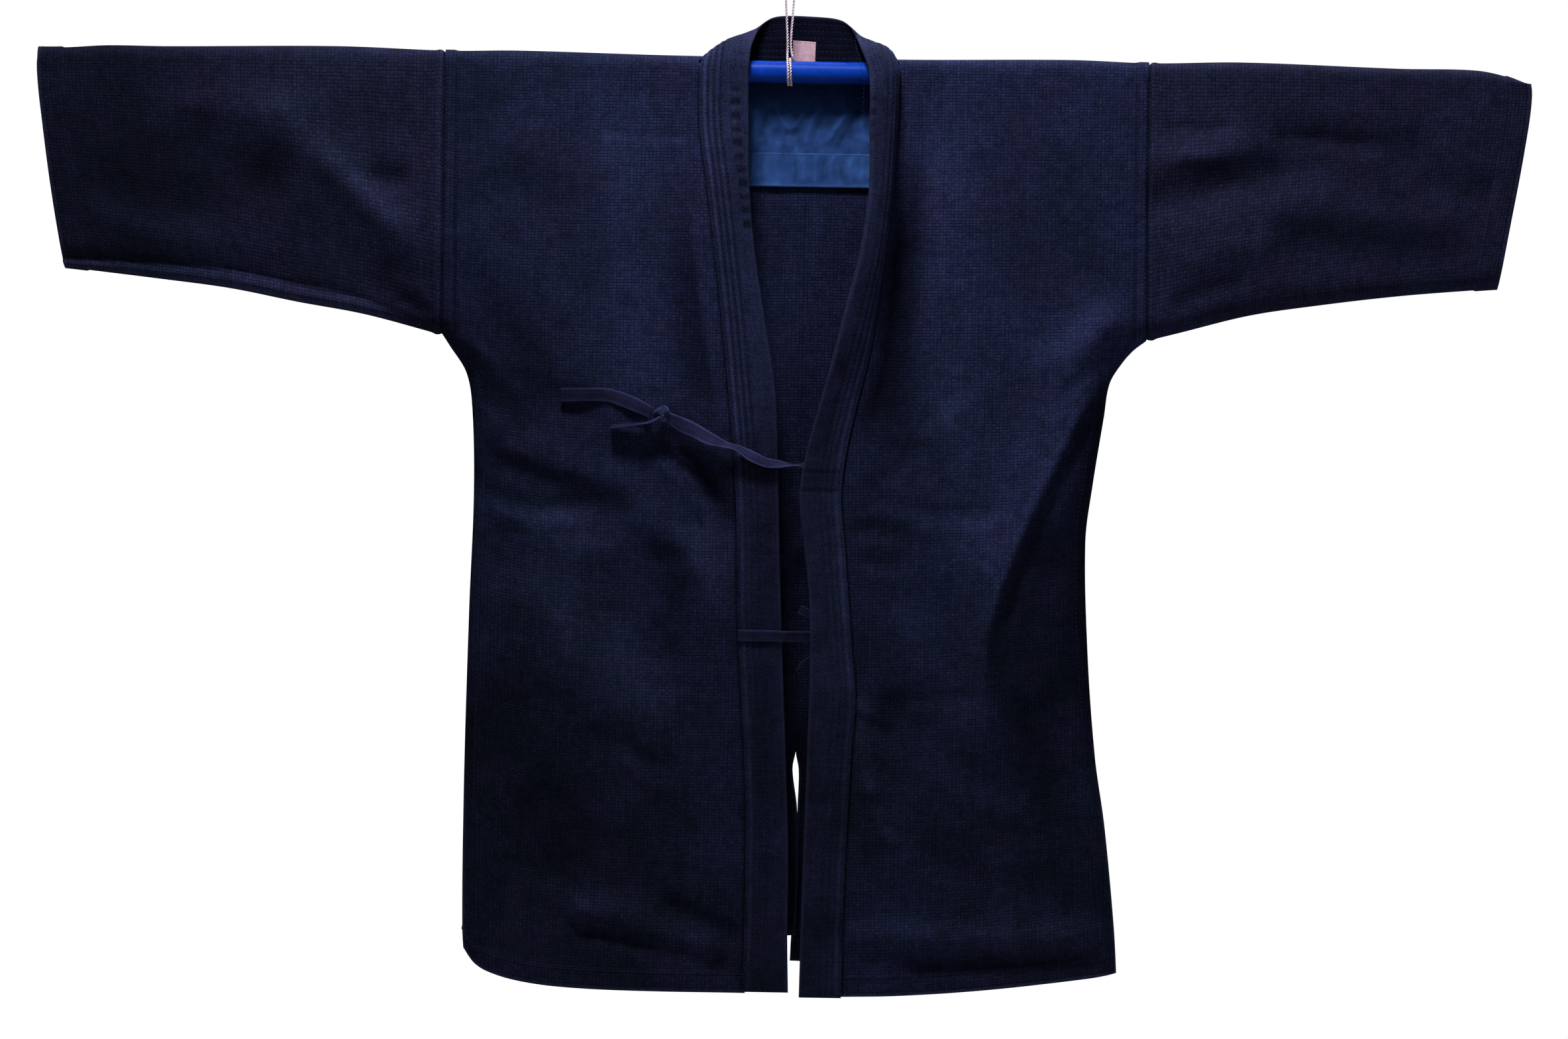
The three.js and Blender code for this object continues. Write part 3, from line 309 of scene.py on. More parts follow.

# %% [markdown]
# ## Folds and creases
# Hanging cloth has two kinds of unevenness. Broad folds come from how it hangs, and sharper creases
# from how it was worn and folded away. Each is a line on the front or the back: a ridge, or a trough
# where its rise is negative, as broad as its width and dying out at its ends. They are placed
# along the photograph's own folds, and the back, which it doesn't show, has ones like them. Each row
# is the line's width, its rise, and the x and z of its points. Painted shade lies in a dark strip
# beside some lines, where a fold's far side is turned from the light: how sharp its edge is, how far
# it reaches, and how dark it is.

# %% Folds and creases
FOLDS = {
    "front": (
        (30, 7, 276, -225, 190, -430), (34, 6, 190, -430, 172, -560), (22, -7, 285, -300, 238, -430),
        (30, -6, 238, -430, 225, -620), (17, 5, 70, -762, 300, -756), (13, -4, 130, -788, 300, -780),
        (11, 5, 76, -560, 84, -630), (12, 4, 84, -630, 112, -690), (16, -3, 100, -570, 230, -556),
        (16, -5, 110, -160, 104, -330), (45, 5, 150, -120, 150, -330), (50, 4, -130, -120, -120, -290),
        (16, -6, -95, -330, -48, -395), (24, 5, -150, -370, -60, -440), (14, -5, -94, -430, -96, -510),
        (16, -5, -268, -345, -150, -384), (18, 3, -262, -385, -180, -400), (34, 5, -210, -420, -110, -590),
        (34, -5, -250, -560, -190, -700), (13, 5, -170, -745, -60, -772), (11, -5, -164, -762, -45, -788),
        (10, -5, -90, -738, -38, -762), (22, -6, -515, -60, -458, -98), (22, -7, -458, -98, -350, -190),
        (20, 5, -450, -50, -345, -140), (22, 4, -600, -150, -470, -160), (14, 4, 332, -70, 420, -52),
        (14, -5, 330, -106, 430, -80), (15, -4, 425, -48, 550, -58), (20, 4, 340, -135, 470, -105),
        (20, -5, 450, -140, 580, -150),
    ),
    "back": (
        (40, 6, -230, -180, -150, -520), (40, 6, -150, -520, -140, -760), (26, -5, -90, -260, -70, -740),
        (42, 6, 240, -180, 170, -500), (42, 7, 170, -500, 190, -770), (26, -5, 110, -300, 100, -760),
        (18, 5, -280, -260, -200, -300), (18, 5, 290, -262, 210, -320), (26, 5, -600, -60, -350, -170),
        (26, 5, 600, -50, 350, -170), (18, -4, 330, -100, 480, -70),
    ),
}
CREASES = {
    "front": (
        (6, 2.2, 286, -262, 260, -303, 234, -357, 212, -407, 195, -452, 184, -489, 183, -545),
        (7, -1.8, 294, -274, 268, -314, 243, -368, 221, -418, 204, -463, 194, -515),
        (24, 2.4, -262, -436, -190, -500, -130, -556, -80, -588),
        (21, 2.7, -520, -60, -458, -98, -400, -150, -350, -190), (25, 4, 272, -320, 240, -426, 226, -600),
        (14, -1.6, -212, -392, -240, -420, -262, -470), (8, -1.1, -176, -578, -135, -600, -98, -616),
        (13, 2.2, -88, -404, -74, -430, -60, -462, -52, -500),
        (15, 1.6, -236, -396, -190, -424, -130, -430), (13, 1.4, -270, -300, -236, -330, -180, -342),
        (9, 1.1, 100, -396, 140, -404, 196, -398), (6, 1.3, 62, -392, 90, -388, 124, -396),
        (6, 1.1, 64, -442, 88, -446, 118, -444), (1.8, 1.5, 62, -559, 72, -563, 86, -570),
        (14, 1.2, 96, -470, 120, -500, 132, -540), (13, -1.1, 150, -440, 146, -480, 156, -520),
        (5, 1, 236, -330, 262, -326, 276, -330), (5, -1.1, 58, -407, 84, -403, 118, -410),
        (12, 1.2, 120, -330, 150, -300, 186, -272), (9, -1.1, 70, -376, 100, -350, 132, -318),
        (5, 1.2, 64, -417, 84, -416, 104, -421), (4, -1.4, 72, -431, 90, -433, 112, -430),
        (6, -1.2, 108, -383, 150, -387, 202, -384), (6, -1.5, 90, -549, 130, -552, 184, -547),
        (2.6, 2, 62, -552, 72, -560, 90, -569, 108, -572), (4, -1.4, 70, -548, 90, -556, 118, -560),
        (3, 1.6, 76, -575, 86, -620, 100, -662, 116, -690), (14, 1, 104, -560, 150, -566, 210, -560),
        (3, 1.4, 70, -553, 84, -555, 100, -560),
        (4.5, 2.4, 66, -572, 78, -612, 86, -648, 95, -670, 116, -686),
        (7, -1.8, 78, -590, 92, -640, 108, -668, 124, -680),
        (8, 1.6, 47, -757, 120, -760, 200, -761, 284, -756), (7, -0.9, 60, -781, 150, -782, 270, -775),
        (14, -1.4, 208, -560, 236, -610, 252, -680), (13, 1.2, 120, -600, 170, -640, 240, -655),
        (12, -1.3, 130, -690, 190, -712, 260, -706), (9, -4.2, 104, -96, 98, -190, 90, -262, 70, -338),
        (3, -1.2, -166, -56, -124, -59, -84, -60), (5, 0.9, -168, -63, -126, -66, -84, -67),
        (15, 1.3, 128, -60, 133, -150, 126, -250), (17, -1.3, 170, -60, 196, -130, 228, -196),
        (12, 1.8, 300, -196, 262, -236, 214, -262), (8, -1.8, 306, -216, 272, -258, 240, -290),
        (13, 1.1, 140, -300, 160, -340, 158, -400), (7, -2.6, -95, -334, -75, -350, -50, -386),
        (8, 2, -112, -344, -84, -368, -60, -400, -45, -430), (8, -2.2, -272, -371, -215, -389, -158, -384),
        (9, 1.4, -258, -392, -212, -404, -170, -398),
        (9, -1.3, -122, -412, -104, -440, -92, -474, -104, -504),
        (5, -1.4, -122, -511, -113, -500, -104, -489), (8, 1.6, -144, -600, -122, -620, -97, -644),
        (22, 1.7, -230, -560, -214, -620, -190, -690), (10, 1.5, -94, -434, -95, -470, -96, -506),
        (9, 1.4, -262, -330, -210, -352, -150, -356), (16, -1.2, -236, -640, -180, -700, -90, -724),
        (26, -1.3, -150, -140, -100, -200, -92, -300), (6, -0.8, -188, -753, -150, -762, -96, -778),
        (11, 1.5, -176, -768, -110, -780, -46, -790), (5, 1, -96, -744, -60, -757, -34, -766),
        (11, 1.3, -240, -712, -170, -736, -100, -742), (14, -1.3, -214, -618, -180, -668, -120, -700),
        (3.6, 1.7, -82, -112, -74, -170, -66, -226, -59, -276),
        (6, -1.6, -92, -126, -84, -190, -74, -260, -66, -320), (19, 1.3, -160, -60, -150, -140, -140, -220),
        (16, -2.2, -296, -150, -262, -214, -214, -280, -150, -320),
        (8, 2, -290, -236, -254, -262, -226, -300), (6, -1.8, -284, -256, -262, -284, -250, -312),
        (18, 1.4, -244, -110, -214, -180, -190, -230), (17, 1.2, -200, -430, -190, -500, -196, -560),
        (9, -2, -372, -99, -352, -102, -334, -99),
        (14, -1.3, -590, -78, -536, -80, -485, -84, -444, -128, -404, -159, -336, -186),
        (12, 1.6, -420, -70, -376, -116, -340, -150), (14, 1.3, -630, -120, -570, -150, -500, -158),
        (15, 1.2, -560, -36, -470, -44, -400, -34), (6, -2.2, -344, -206, -326, -214, -308, -221),
        (6, 1.6, -352, -186, -332, -196, -314, -200), (5, -1.8, 332, -43, 360, -44, 390, -42),
        (6, 1.8, 338, -68, 362, -70, 392, -67), (9, 0.9, 330, -106, 344, -104, 362, -100),
        (4.5, -1.5, 422, -49, 476, -51, 528, -55), (9, 1.2, 430, -62, 480, -64, 540, -68),
        (9, -1.9, 340, -204, 372, -186, 412, -176), (12, 1.5, 336, -168, 384, -150, 440, -142),
        (14, 1.3, 480, -110, 540, -122, 604, -116), (12, -1.3, 560, -76, 596, -92, 630, -96),
    ),
    "back": (
        (8, 2, -292, -250, -256, -272, -222, -312), (7, -1.9, -286, -270, -260, -298, -240, -340),
        (8, 2.1, 304, -244, 266, -268, 232, -314), (7, -1.8, 298, -268, 262, -300, 246, -344),
        (8, -1.9, -270, -380, -214, -396, -150, -388), (8, -1.8, 262, -398, 214, -404, 166, -392),
        (14, 1.4, -40, -150, -46, -260, -38, -380), (15, 1.3, 70, -140, 80, -250, 74, -360),
        (7, -1.8, -70, -560, -30, -590, 8, -598), (7, -1.7, 28, -600, 60, -586, 104, -560),
        (9, 1.7, -6, -612, -34, -650, -44, -716), (9, 1.6, 40, -614, 66, -660, 70, -730),
        (13, -1.4, -240, -600, -190, -640, -110, -652), (13, 1.4, 250, -590, 206, -640, 130, -660),
        (9, 1.5, -250, -724, -170, -738, -70, -730), (9, 1.5, 80, -742, 170, -752, 280, -742),
        (7, -1.5, -236, -744, -150, -754, -60, -748), (7, -1.5, 90, -764, 180, -770, 276, -760),
        (15, -1.3, -180, -440, -170, -490, -180, -540), (15, 1.3, 196, -420, 206, -480, 198, -540),
        (12, -2, -590, -82, -500, -94, -420, -150, -340, -180),
        (12, 1.6, -420, -60, -370, -104, -336, -140), (13, 1.3, -600, -130, -540, -152, -470, -154),
        (9, 1.5, 340, -60, 390, -70, 450, -62), (9, -1.8, 338, -120, 382, -112, 430, -116),
        (13, 1.4, 470, -110, 540, -128, 600, -118), (12, -1.3, 520, -60, 570, -76, 622, -78),
        (6, -2, -350, -200, -330, -208, -310, -216), (6, -1.9, 350, -196, 336, -204, 324, -212),
    ),
}
# Painted shade: dark strips in the cloth's colour beside folds, each with its edge's sharpness, reach,
# darkness and line.
PAINTED_SHADE_STRIPS = {
    "front": (
        (5, 190, 0.46, 306, -228, 286, -262, 260, -303, 234, -357, 212, -407, 195, -452, 184, -489, 182,
         -560, 190, -640), (-14, -26, 0.3, -300, -330, -272, -346, -229, -374, -160, -366, -105, -380),
        (-20, -80, 0.36, -312, -130, -286, -200, -240, -256, -180, -296),
        (4, 34, 0.5, 101, -40, 98, -120, 93, -190, 85, -262, 64, -350),
        (-4, -34, 0.36, -86, -112, -78, -190, -68, -250, -58, -310),
        (-16, -46, 0.16, -260, -70, -200, -90, -150, -84), (8, 30, 0.16, -124, -404, -106, -440, -97, -492),
        (-40, -150, 0.18, -300, -500, -240, -540, -190, -600, -130, -660),
        (-30, -90, 0.34, -640, -96, -560, -76, -485, -84, -444, -128, -404, -159, -330, -190),
        (-30, -140, 0.16, -670, -40, -600, -52, -560, -44),
        (12, 24, 0.34, -374, -92, -352, -100, -330, -98), (14, 46, 0.16, 330, -112, 420, -86, 520, -60),
    ),
    "back": (
        (8, 60, 0.22, -290, -250, -250, -290, -214, -380, -200, -520),
        (8, 90, 0.26, 300, -246, 258, -286, 224, -380, 206, -520),
        (-16, -60, 0.24, -560, -90, -470, -104, -400, -150, -330, -180),
        (14, 50, 0.22, 330, -120, 420, -100, 540, -96),
    ),
}
CREASE_ENDS = 0.22
FOLD_FULLNESS = 1.05
CREASE_FULLNESS = 2.1


def distance_to(x, z, x1, z1, x2, z2):
    """How far places on a face are from a straight line, and how far along it they are."""
    dx, dz = x2 - x1, z2 - z1
    t = np.clip(((x - x1) * dx + (z - z1) * dz) / (dx * dx + dz * dz), 0, 1)
    return np.hypot(x - x1 - t * dx, z - z1 - t * dz), t


def folds_at(face, x, z):
    rise = np.zeros(np.shape(x))
    for width, height, *line in FOLDS[face]:
        away, _ = distance_to(x, z, *line)
        rise += FOLD_FULLNESS * height * bell(away / width)
    return rise


def nearest_on(line, x, z):
    """How far places are from a line of points, how far along it they lie, and on which side."""
    points = np.reshape(line, (-1, 2))
    spans = len(points) - 1
    nearest, along, side = np.full(np.shape(x), 1e9), np.zeros(np.shape(x)), np.zeros(np.shape(x))
    for k, ((x1, z1), (x2, z2)) in enumerate(zip(points[:-1], points[1:])):
        away, t = distance_to(x, z, x1, z1, x2, z2)
        closer = away < nearest
        nearest = np.where(closer, away, nearest)
        along = np.where(closer, (k + t) / spans, along)
        turned = np.sign((x - x1) * (z2 - z1) - (z - z1) * (x2 - x1))
        side = np.where(closer, -turned, side)
    return nearest, along, side


def crease_height(lines, x, z):
    """The height of sharper creases, which die out at their ends."""
    rise = np.zeros(np.shape(x))
    for width, height, *line in lines:
        nearest, along, _ = nearest_on(line, x, z)
        taper = smooth(along / CREASE_ENDS + 0.15) * smooth((1 - along) / CREASE_ENDS + 0.15)
        fullness = CREASE_FULLNESS * min(1, 0.4 + width / 18)
        rise += fullness * height * taper * bell(nearest / width)
    return rise


def slack(x, z, pitch, seed):
    """Soft uneven swelling between -1 and 1, as slack in woven cloth, the same on every run."""
    size = 96
    draw = np.random.default_rng(seed).uniform(-1, 1, (size, size))
    u, v = x / pitch + 40, z / pitch + 40
    i, j = np.floor(u).astype(int), np.floor(v).astype(int)
    s, t = smooth(u - i), smooth(v - j)
    top = mix(draw[i % size, j % size], draw[(i + 1) % size, j % size], s)
    low = mix(draw[i % size, (j + 1) % size], draw[(i + 1) % size, (j + 1) % size], s)
    return mix(top, low, t)


print("folds:", sum(map(len, FOLDS.values())), "creases:", sum(map(len, CREASES.values())))

# %% [markdown]
# ## The hanging form
# The front and the back hang a little apart below the rod, meet along the underside of the sleeves
# and the side seams, and roll round softly where they meet. So one function can say how far the cloth
# stands out from the rod's own plane anywhere, and every piece that lies on the cloth asks it too.

# %% The form of the front and the back
EDGE_STEP = 5
SWELLS = ((70, 1.0, 3), (31, 0.5, 5), (13, 0.16, 8))


def closed_edge(side):
    """The line where the front and the back meet: under the sleeve, then down the side."""
    under, seam = UNDERSIDE[side], SIDE_SEAM[side]
    xs = np.linspace(under["x"][0], under["x"][-1], int(abs(np.ptp(under["x"])) / EDGE_STEP))
    zs = np.linspace(seam["z"][0], seam["z"][-1], int(abs(np.ptp(seam["z"])) / EDGE_STEP))
    sleeve_part = np.column_stack([xs, curve(under, "x", "z", xs)])
    side_part = np.column_stack([curve(seam, "z", "x", zs), zs])
    return np.vstack([sleeve_part, side_part])


CLOSED_EDGE = {side: closed_edge(side) for side in SIDES}


def from_closed_edge(x, z):
    """How far a place is from the line where the front and the back meet, up to the roll's size."""
    nearest = np.full(np.shape(x), 2.0 * SIDE_ROLL)
    for side, edge in CLOSED_EDGE.items():
        mine = (x < CENTRE_BACK) == (side == "right")
        for (x1, z1), (x2, z2) in zip(edge[:-1], edge[1:]):
            close = mine & (np.abs(x - x1) < 2 * SIDE_ROLL) & (np.abs(z - z1) < 2 * SIDE_ROLL)
            if close.any() and (x1, z1) != (x2, z2):
                away, _ = distance_to(x[close], z[close], x1, z1, x2, z2)
                nearest[close] = np.minimum(nearest[close], away)
    return nearest


def back_at_neck(x):
    return NECK_BACK * np.exp(-(((x - CENTRE_BACK) / 75) ** 4))


def painted_fold_shade(face, x, z):
    """Painted shade beside folds: dark strips, sharp along a line, and softer away from it."""
    tone = np.ones(np.shape(x))
    for sharp, reach, amount, *line in PAINTED_SHADE_STRIPS[face]:
        nearest, along, side = nearest_on(line, x, z)
        signed = nearest * side * np.sign(sharp)
        edge = smooth(0.5 + signed / abs(sharp)) * smooth((abs(reach) - signed) / (0.6 * abs(reach)))
        tone *= 1 - amount * edge * smooth(along / 0.25 + 0.1) * smooth((1 - along) / 0.25 + 0.1)
    return tone


def relief(face, x, z):
    """The height of all folds and creases. As a tone it makes ridges paler and troughs darker: partly wear,
    partly painted light and shade.
    """
    return folds_at(face, x, z) + crease_height(CREASES[face], x, z)


def stand_out(face, x, z):
    """How far the outer face stands from the rod's plane, in millimetres."""
    x, z = np.atleast_1d(np.asarray(x, float)), np.atleast_1d(np.asarray(z, float))
    neck = back_at_neck(x) * (1 - smooth(-z / NECK_FADE)) if face == "back" else 0
    base = curve(HANG, "drop", face, -z) + neck
    lapped = np.clip((SIDE_LAP["from"] - z) / SIDE_LAP["ramp"], 0, 1)
    roll = np.clip((from_closed_edge(x, z) - SIDE_LAP["reach"] * lapped) / SIDE_ROLL, 0, 1)
    rounded = np.sqrt(1 - (1 - roll) ** 2)
    spread = VENT_SPREAD * np.clip((SIDE_VENT_TOP - z) / VENT_RUN, 0, 1)
    meet = mix(HALF_SEAM, SIDE_LAP["half"], lapped) + spread
    fade = smooth(-z / TOP_FADE) * smooth(roll)
    swell = sum(height * slack(x, z, pitch, seed + (face == "back")) for pitch, height, seed in SWELLS)
    return meet + (base - meet) * rounded + (relief(face, x, z) + swell) * fade


def on_face(face, x, z, off=0):
    """Points on the outside of the front or the back, or off it."""
    sign = -1 if face == "front" else 1
    x, z = np.broadcast_arrays(np.asarray(x, float), np.asarray(z, float))
    return np.column_stack([x, sign * (stand_out(face, x, z) + off), z])


def over_rod(x, angle, off=0):
    """Points on the cloth where it passes over the rod: 180 degrees is the front and 0 the back."""
    turn = np.radians(angle)
    reach = np.where(np.cos(turn) < 0, HANG["front"][0], HANG["back"][0] + back_at_neck(x))
    top = curve(TOP_LINE, "x", "top", x)
    y, z = reach * np.cos(turn), top * np.sin(turn)
    size = np.maximum(np.hypot(y, z), 1e-6)
    return np.column_stack([x, y * (1 + off / size), z * (1 + off / size)])


print("the front stands out at the chest by", stand_out("front", [-150], [-200]).round(1), "mm")

# %% [markdown]
# ## From a grid to a piece
# `bmesh.ops.create_grid` gives a flat sheet with as many crossings as wanted. Each crossing knows its
# column and its row, so a formula can move it to its place on the garment. The flat place goes into a
# UV map named cloth, in metres, so that the weave keeps its size and follows the cloth.

# %% Grids, tubes and pieces
def stations(*spans):
    """Places along a piece: each span runs from its start to its end in steps of about its pitch."""
    parts = [np.linspace(a, b, max(1, round(abs(b - a) / step)), endpoint=False) for a, b, step in spans]
    return np.append(np.concatenate(parts), spans[-1][1])


def to_frame(points):
    """Millimetres from the middle of the rod to metres in the frame."""
    return (np.asarray(points) - (0, 0, HANG_DROP)) * MM


def shaped_grid(name, columns, rows, lay, **tidying):
    """A grid moved to its place. lay gives the points, their flat places on the cloth, and named facts."""
    bm = bmesh.new()
    bmesh.ops.create_grid(bm, x_segments=len(columns) - 1, y_segments=len(rows) - 1, size=0.5)
    mesh = bpy.data.meshes.new(name)
    bm.to_mesh(mesh)
    count = len(mesh.vertices)
    start = np.zeros(count * 3)
    mesh.vertices.foreach_get("co", start)
    start = start.reshape(-1, 3)
    across = columns[np.rint((start[:, 0] + 0.5) * (len(columns) - 1)).astype(int)]
    along = rows[np.rint((start[:, 1] + 0.5) * (len(rows) - 1)).astype(int)]
    points, flat, facts = lay(across, along)
    mesh.vertices.foreach_set("co", to_frame(points).ravel())
    corner = np.zeros(len(mesh.loops), int)
    mesh.loops.foreach_get("vertex_index", corner)
    flat_places = np.column_stack(flat) * MM
    mesh.uv_layers.new(name="cloth").data.foreach_set("uv", flat_places[corner].ravel())
    for fact, values in facts.items():
        mesh.attributes.new(fact, "FLOAT", "POINT").data.foreach_set("value", values)
    bm.free()
    tidy_mesh(mesh, **tidying)
    return mesh


def tidy_mesh(mesh, closed=False, hint=None):
    """Joins a tube along its seam, closes its ends, and turns all its faces outwards."""
    bm = bmesh.new()
    bm.from_mesh(mesh)
    if closed:
        bmesh.ops.remove_doubles(bm, verts=bm.verts, dist=1e-6)
    if closed == "capped":
        bmesh.ops.holes_fill(bm, edges=[edge for edge in bm.edges if edge.is_boundary], sides=0)
        bmesh.ops.recalc_face_normals(bm, faces=bm.faces)
    if hint:
        sample = list(bm.faces)[:: max(1, len(bm.faces) // 2000)]
        if sum(face.normal.dot(hint(face.calc_center_median())) * face.calc_area() for face in sample) < 0:
            bmesh.ops.reverse_faces(bm, faces=bm.faces)
    bm.to_mesh(mesh)
    bm.free()
    mesh.shade_smooth()


def swept(name, middles, wide, thick, sides=12, power=1.0, rubbed=0.0, tone=1.0):
    """A solid swept along middles, with half its width and half its thickness given at each."""
    middles, wide, thick = (np.asarray(part, float) for part in (middles, wide, thick))
    lengths = run_along(middles)
    girth = 4 * np.linalg.norm(wide, axis=1).mean()
    tones = tone * np.ones(len(middles))

    def lay(across, along):
        turn = 2 * math.pi * across
        c, s = np.cos(turn), np.sin(turn)
        c, s = np.sign(c) * np.abs(c) ** power, np.sign(s) * np.abs(s) ** power
        i = along.astype(int)
        points = middles[i] + wide[i] * c[:, None] + thick[i] * s[:, None]
        selvedge = 1 + rubbed * smooth((np.abs(c) - 0.6) / 0.35)
        return points, (across * girth, lengths[i]), {"tone": tones[i] * selvedge}

    columns = np.linspace(0, 1, sides + 1)
    rows = np.arange(len(middles), dtype=float)
    return shaped_grid(name, columns, rows, lay, closed="capped")


def add_piece(name, mesh, slot, finish, *nodes):
    """Puts a finished mesh in the scene: it rides on the body and stands for CAD nodes."""
    piece = bpy.data.objects.new(name, mesh)
    bpy.context.scene.collection.objects.link(piece)
    mesh.materials.append(finish)
    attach(piece, "root")
    if nodes:
        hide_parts(*nodes)
    return piece


def give_wall(piece, thickness):
    """Gives a sheet its thickness, on the inside of the face that was shaped."""
    wall = piece.modifiers.new("wall", "SOLIDIFY")
    wall.thickness = thickness * MM
    wall.offset = -1
    return piece


# %% [markdown]
# ## Finishes: the woven grain
# Sashiko cloth has a soft thick thread that floats over the ground weave in short grains. They stand in
# straight rows, and every other grain is a little prouder. The Brick texture, with no offset, makes
# that grid with a chance tint for each grain, and two sine waves raise every other one. It becomes a
# node group, because the body, the sleeves and the collar all use it at their own scale.

# %% Node helpers
def fill(tree, node, inputs):
    """Links a node's inputs to sockets, or sets them to values."""
    for key, value in inputs.items():
        if isinstance(value, bpy.types.NodeSocket):
            tree.links.new(value, node.inputs[key])
        else:
            node.inputs[key].default_value = value


def put(tree, kind, inputs=None, **settings):
    """Adds a node, sets it, and fills its inputs."""
    node = tree.nodes.new(kind)
    for key, value in settings.items():
        setattr(node, key, value)
    fill(tree, node, inputs or {})
    return node


def maths(tree, operation, a, b=0.0, c=0.0):
    return put(tree, "ShaderNodeMath", {0: a, 1: b, 2: c}, operation=operation).outputs[0]


def scaled(tree, vector, amount):
    """A vector or a colour, made longer or brighter."""
    given = {0: vector, "Scale": amount}
    return put(tree, "ShaderNodeVectorMath", given, operation="SCALE").outputs[0]


def bumped(tree, strength, distance, height):
    """Fine relief. Its distance is in metres."""
    given = {"Strength": strength, "Distance": distance, "Height": height}
    return put(tree, "ShaderNodeBump", given).outputs[0]


def blend_colours(tree, factor, a, b, mode="MIX"):
    node = put(tree, "ShaderNodeMix", {0: factor, 6: a, 7: b}, data_type="RGBA", blend_type=mode)
    return node.outputs[2]


def soft_range(tree, value, low, high, to_low=0.0, to_high=1.0):
    """A soft step between two values."""
    given = {"Value": value, "From Min": low, "From Max": high, "To Min": to_low, "To Max": to_high}
    return put(tree, "ShaderNodeMapRange", given, interpolation_type="SMOOTHSTEP").outputs[0]


def noise(tree, vector, scale, detail=2.0, roughness=0.5):
    given = {"Vector": vector, "Scale": scale, "Detail": detail, "Roughness": roughness}
    return put(tree, "ShaderNodeTexNoise", given).outputs[0]


def new_group(name, inputs, outputs):
    """An empty node group with named inputs and outputs."""
    group = bpy.data.node_groups.new(name, "ShaderNodeTree")
    for label, (kind, value) in inputs.items():
        socket = group.interface.new_socket(name=label, in_out="INPUT", socket_type=f"NodeSocket{kind}")
        if value is not None:
            socket.default_value = value
    for label, kind in outputs.items():
        group.interface.new_socket(name=label, in_out="OUTPUT", socket_type=f"NodeSocket{kind}")
    into = group.nodes.new("NodeGroupInput")
    out = group.nodes.new("NodeGroupOutput")
    return group, into.outputs, out


def use_group(tree, group, inputs):
    return put(tree, "ShaderNodeGroup", inputs, node_tree=group).outputs


# %% Weave, fading with painted light, and sewn-row groups
def make_weave_group():
    """Rows of soft grains. Place is the cloth map in metres and Grain the size of one, in millimetres."""
    group, given, made = new_group(
        "woven grain",
        {"Place": ("Vector", None), "Grain": ("Float", 3.3), "Waver": ("Float", 0.35)},
        {"Height": "Float", "Tint": "Float", "Grains": "Float"},
    )
    scale = maths(group, "DIVIDE", 500.0, given["Grain"])
    drift = put(group, "ShaderNodeTexNoise", {"Vector": given["Place"], "Scale": 90.0, "Detail": 1.0})
    centred = put(group, "ShaderNodeVectorMath", {0: drift.outputs["Color"], 1: (0.5, 0.5, 0.5)},
                  operation="SUBTRACT").outputs[0]
    amount = maths(group, "MULTIPLY", given["Waver"], 0.004)
    place = put(group, "ShaderNodeVectorMath", {0: given["Place"], 1: scaled(group, centred, amount)},
                operation="ADD").outputs[0]
    brick = put(group, "ShaderNodeTexBrick", {
        "Vector": place, "Scale": scale, "Color1": (0, 0, 0, 1), "Color2": (1, 1, 1, 1),
        "Mortar": (0.5, 0.5, 0.5, 1), "Mortar Size": 0.085, "Mortar Smooth": 1.0,
        "Brick Width": 0.5, "Row Height": 0.41,
    }, offset=0.0)
    solid = maths(group, "SUBTRACT", 1.0, brick.outputs["Fac"])
    counted = put(group, "ShaderNodeMapping", {"Vector": place, "Scale": (3.1416, 3.83, 1)}).outputs[0]
    each = scaled(group, counted, maths(group, "MULTIPLY", scale, 2.0))
    waves = put(group, "ShaderNodeVectorMath", {0: each}, operation="SINE").outputs[0]
    parts = put(group, "ShaderNodeSeparateXYZ", {0: waves}).outputs
    every_other = maths(group, "MULTIPLY", maths(group, "MULTIPLY", parts[0], parts[1]), 0.22)
    grains = maths(group, "ADD", solid, every_other)
    thread = noise(group, place, 2600.0, 1.0)
    uneven = maths(group, "MULTIPLY_ADD", thread, 0.35, grains)
    fill(group, made, {"Height": uneven, "Tint": brick.outputs["Color"], "Grains": grains})
    return group


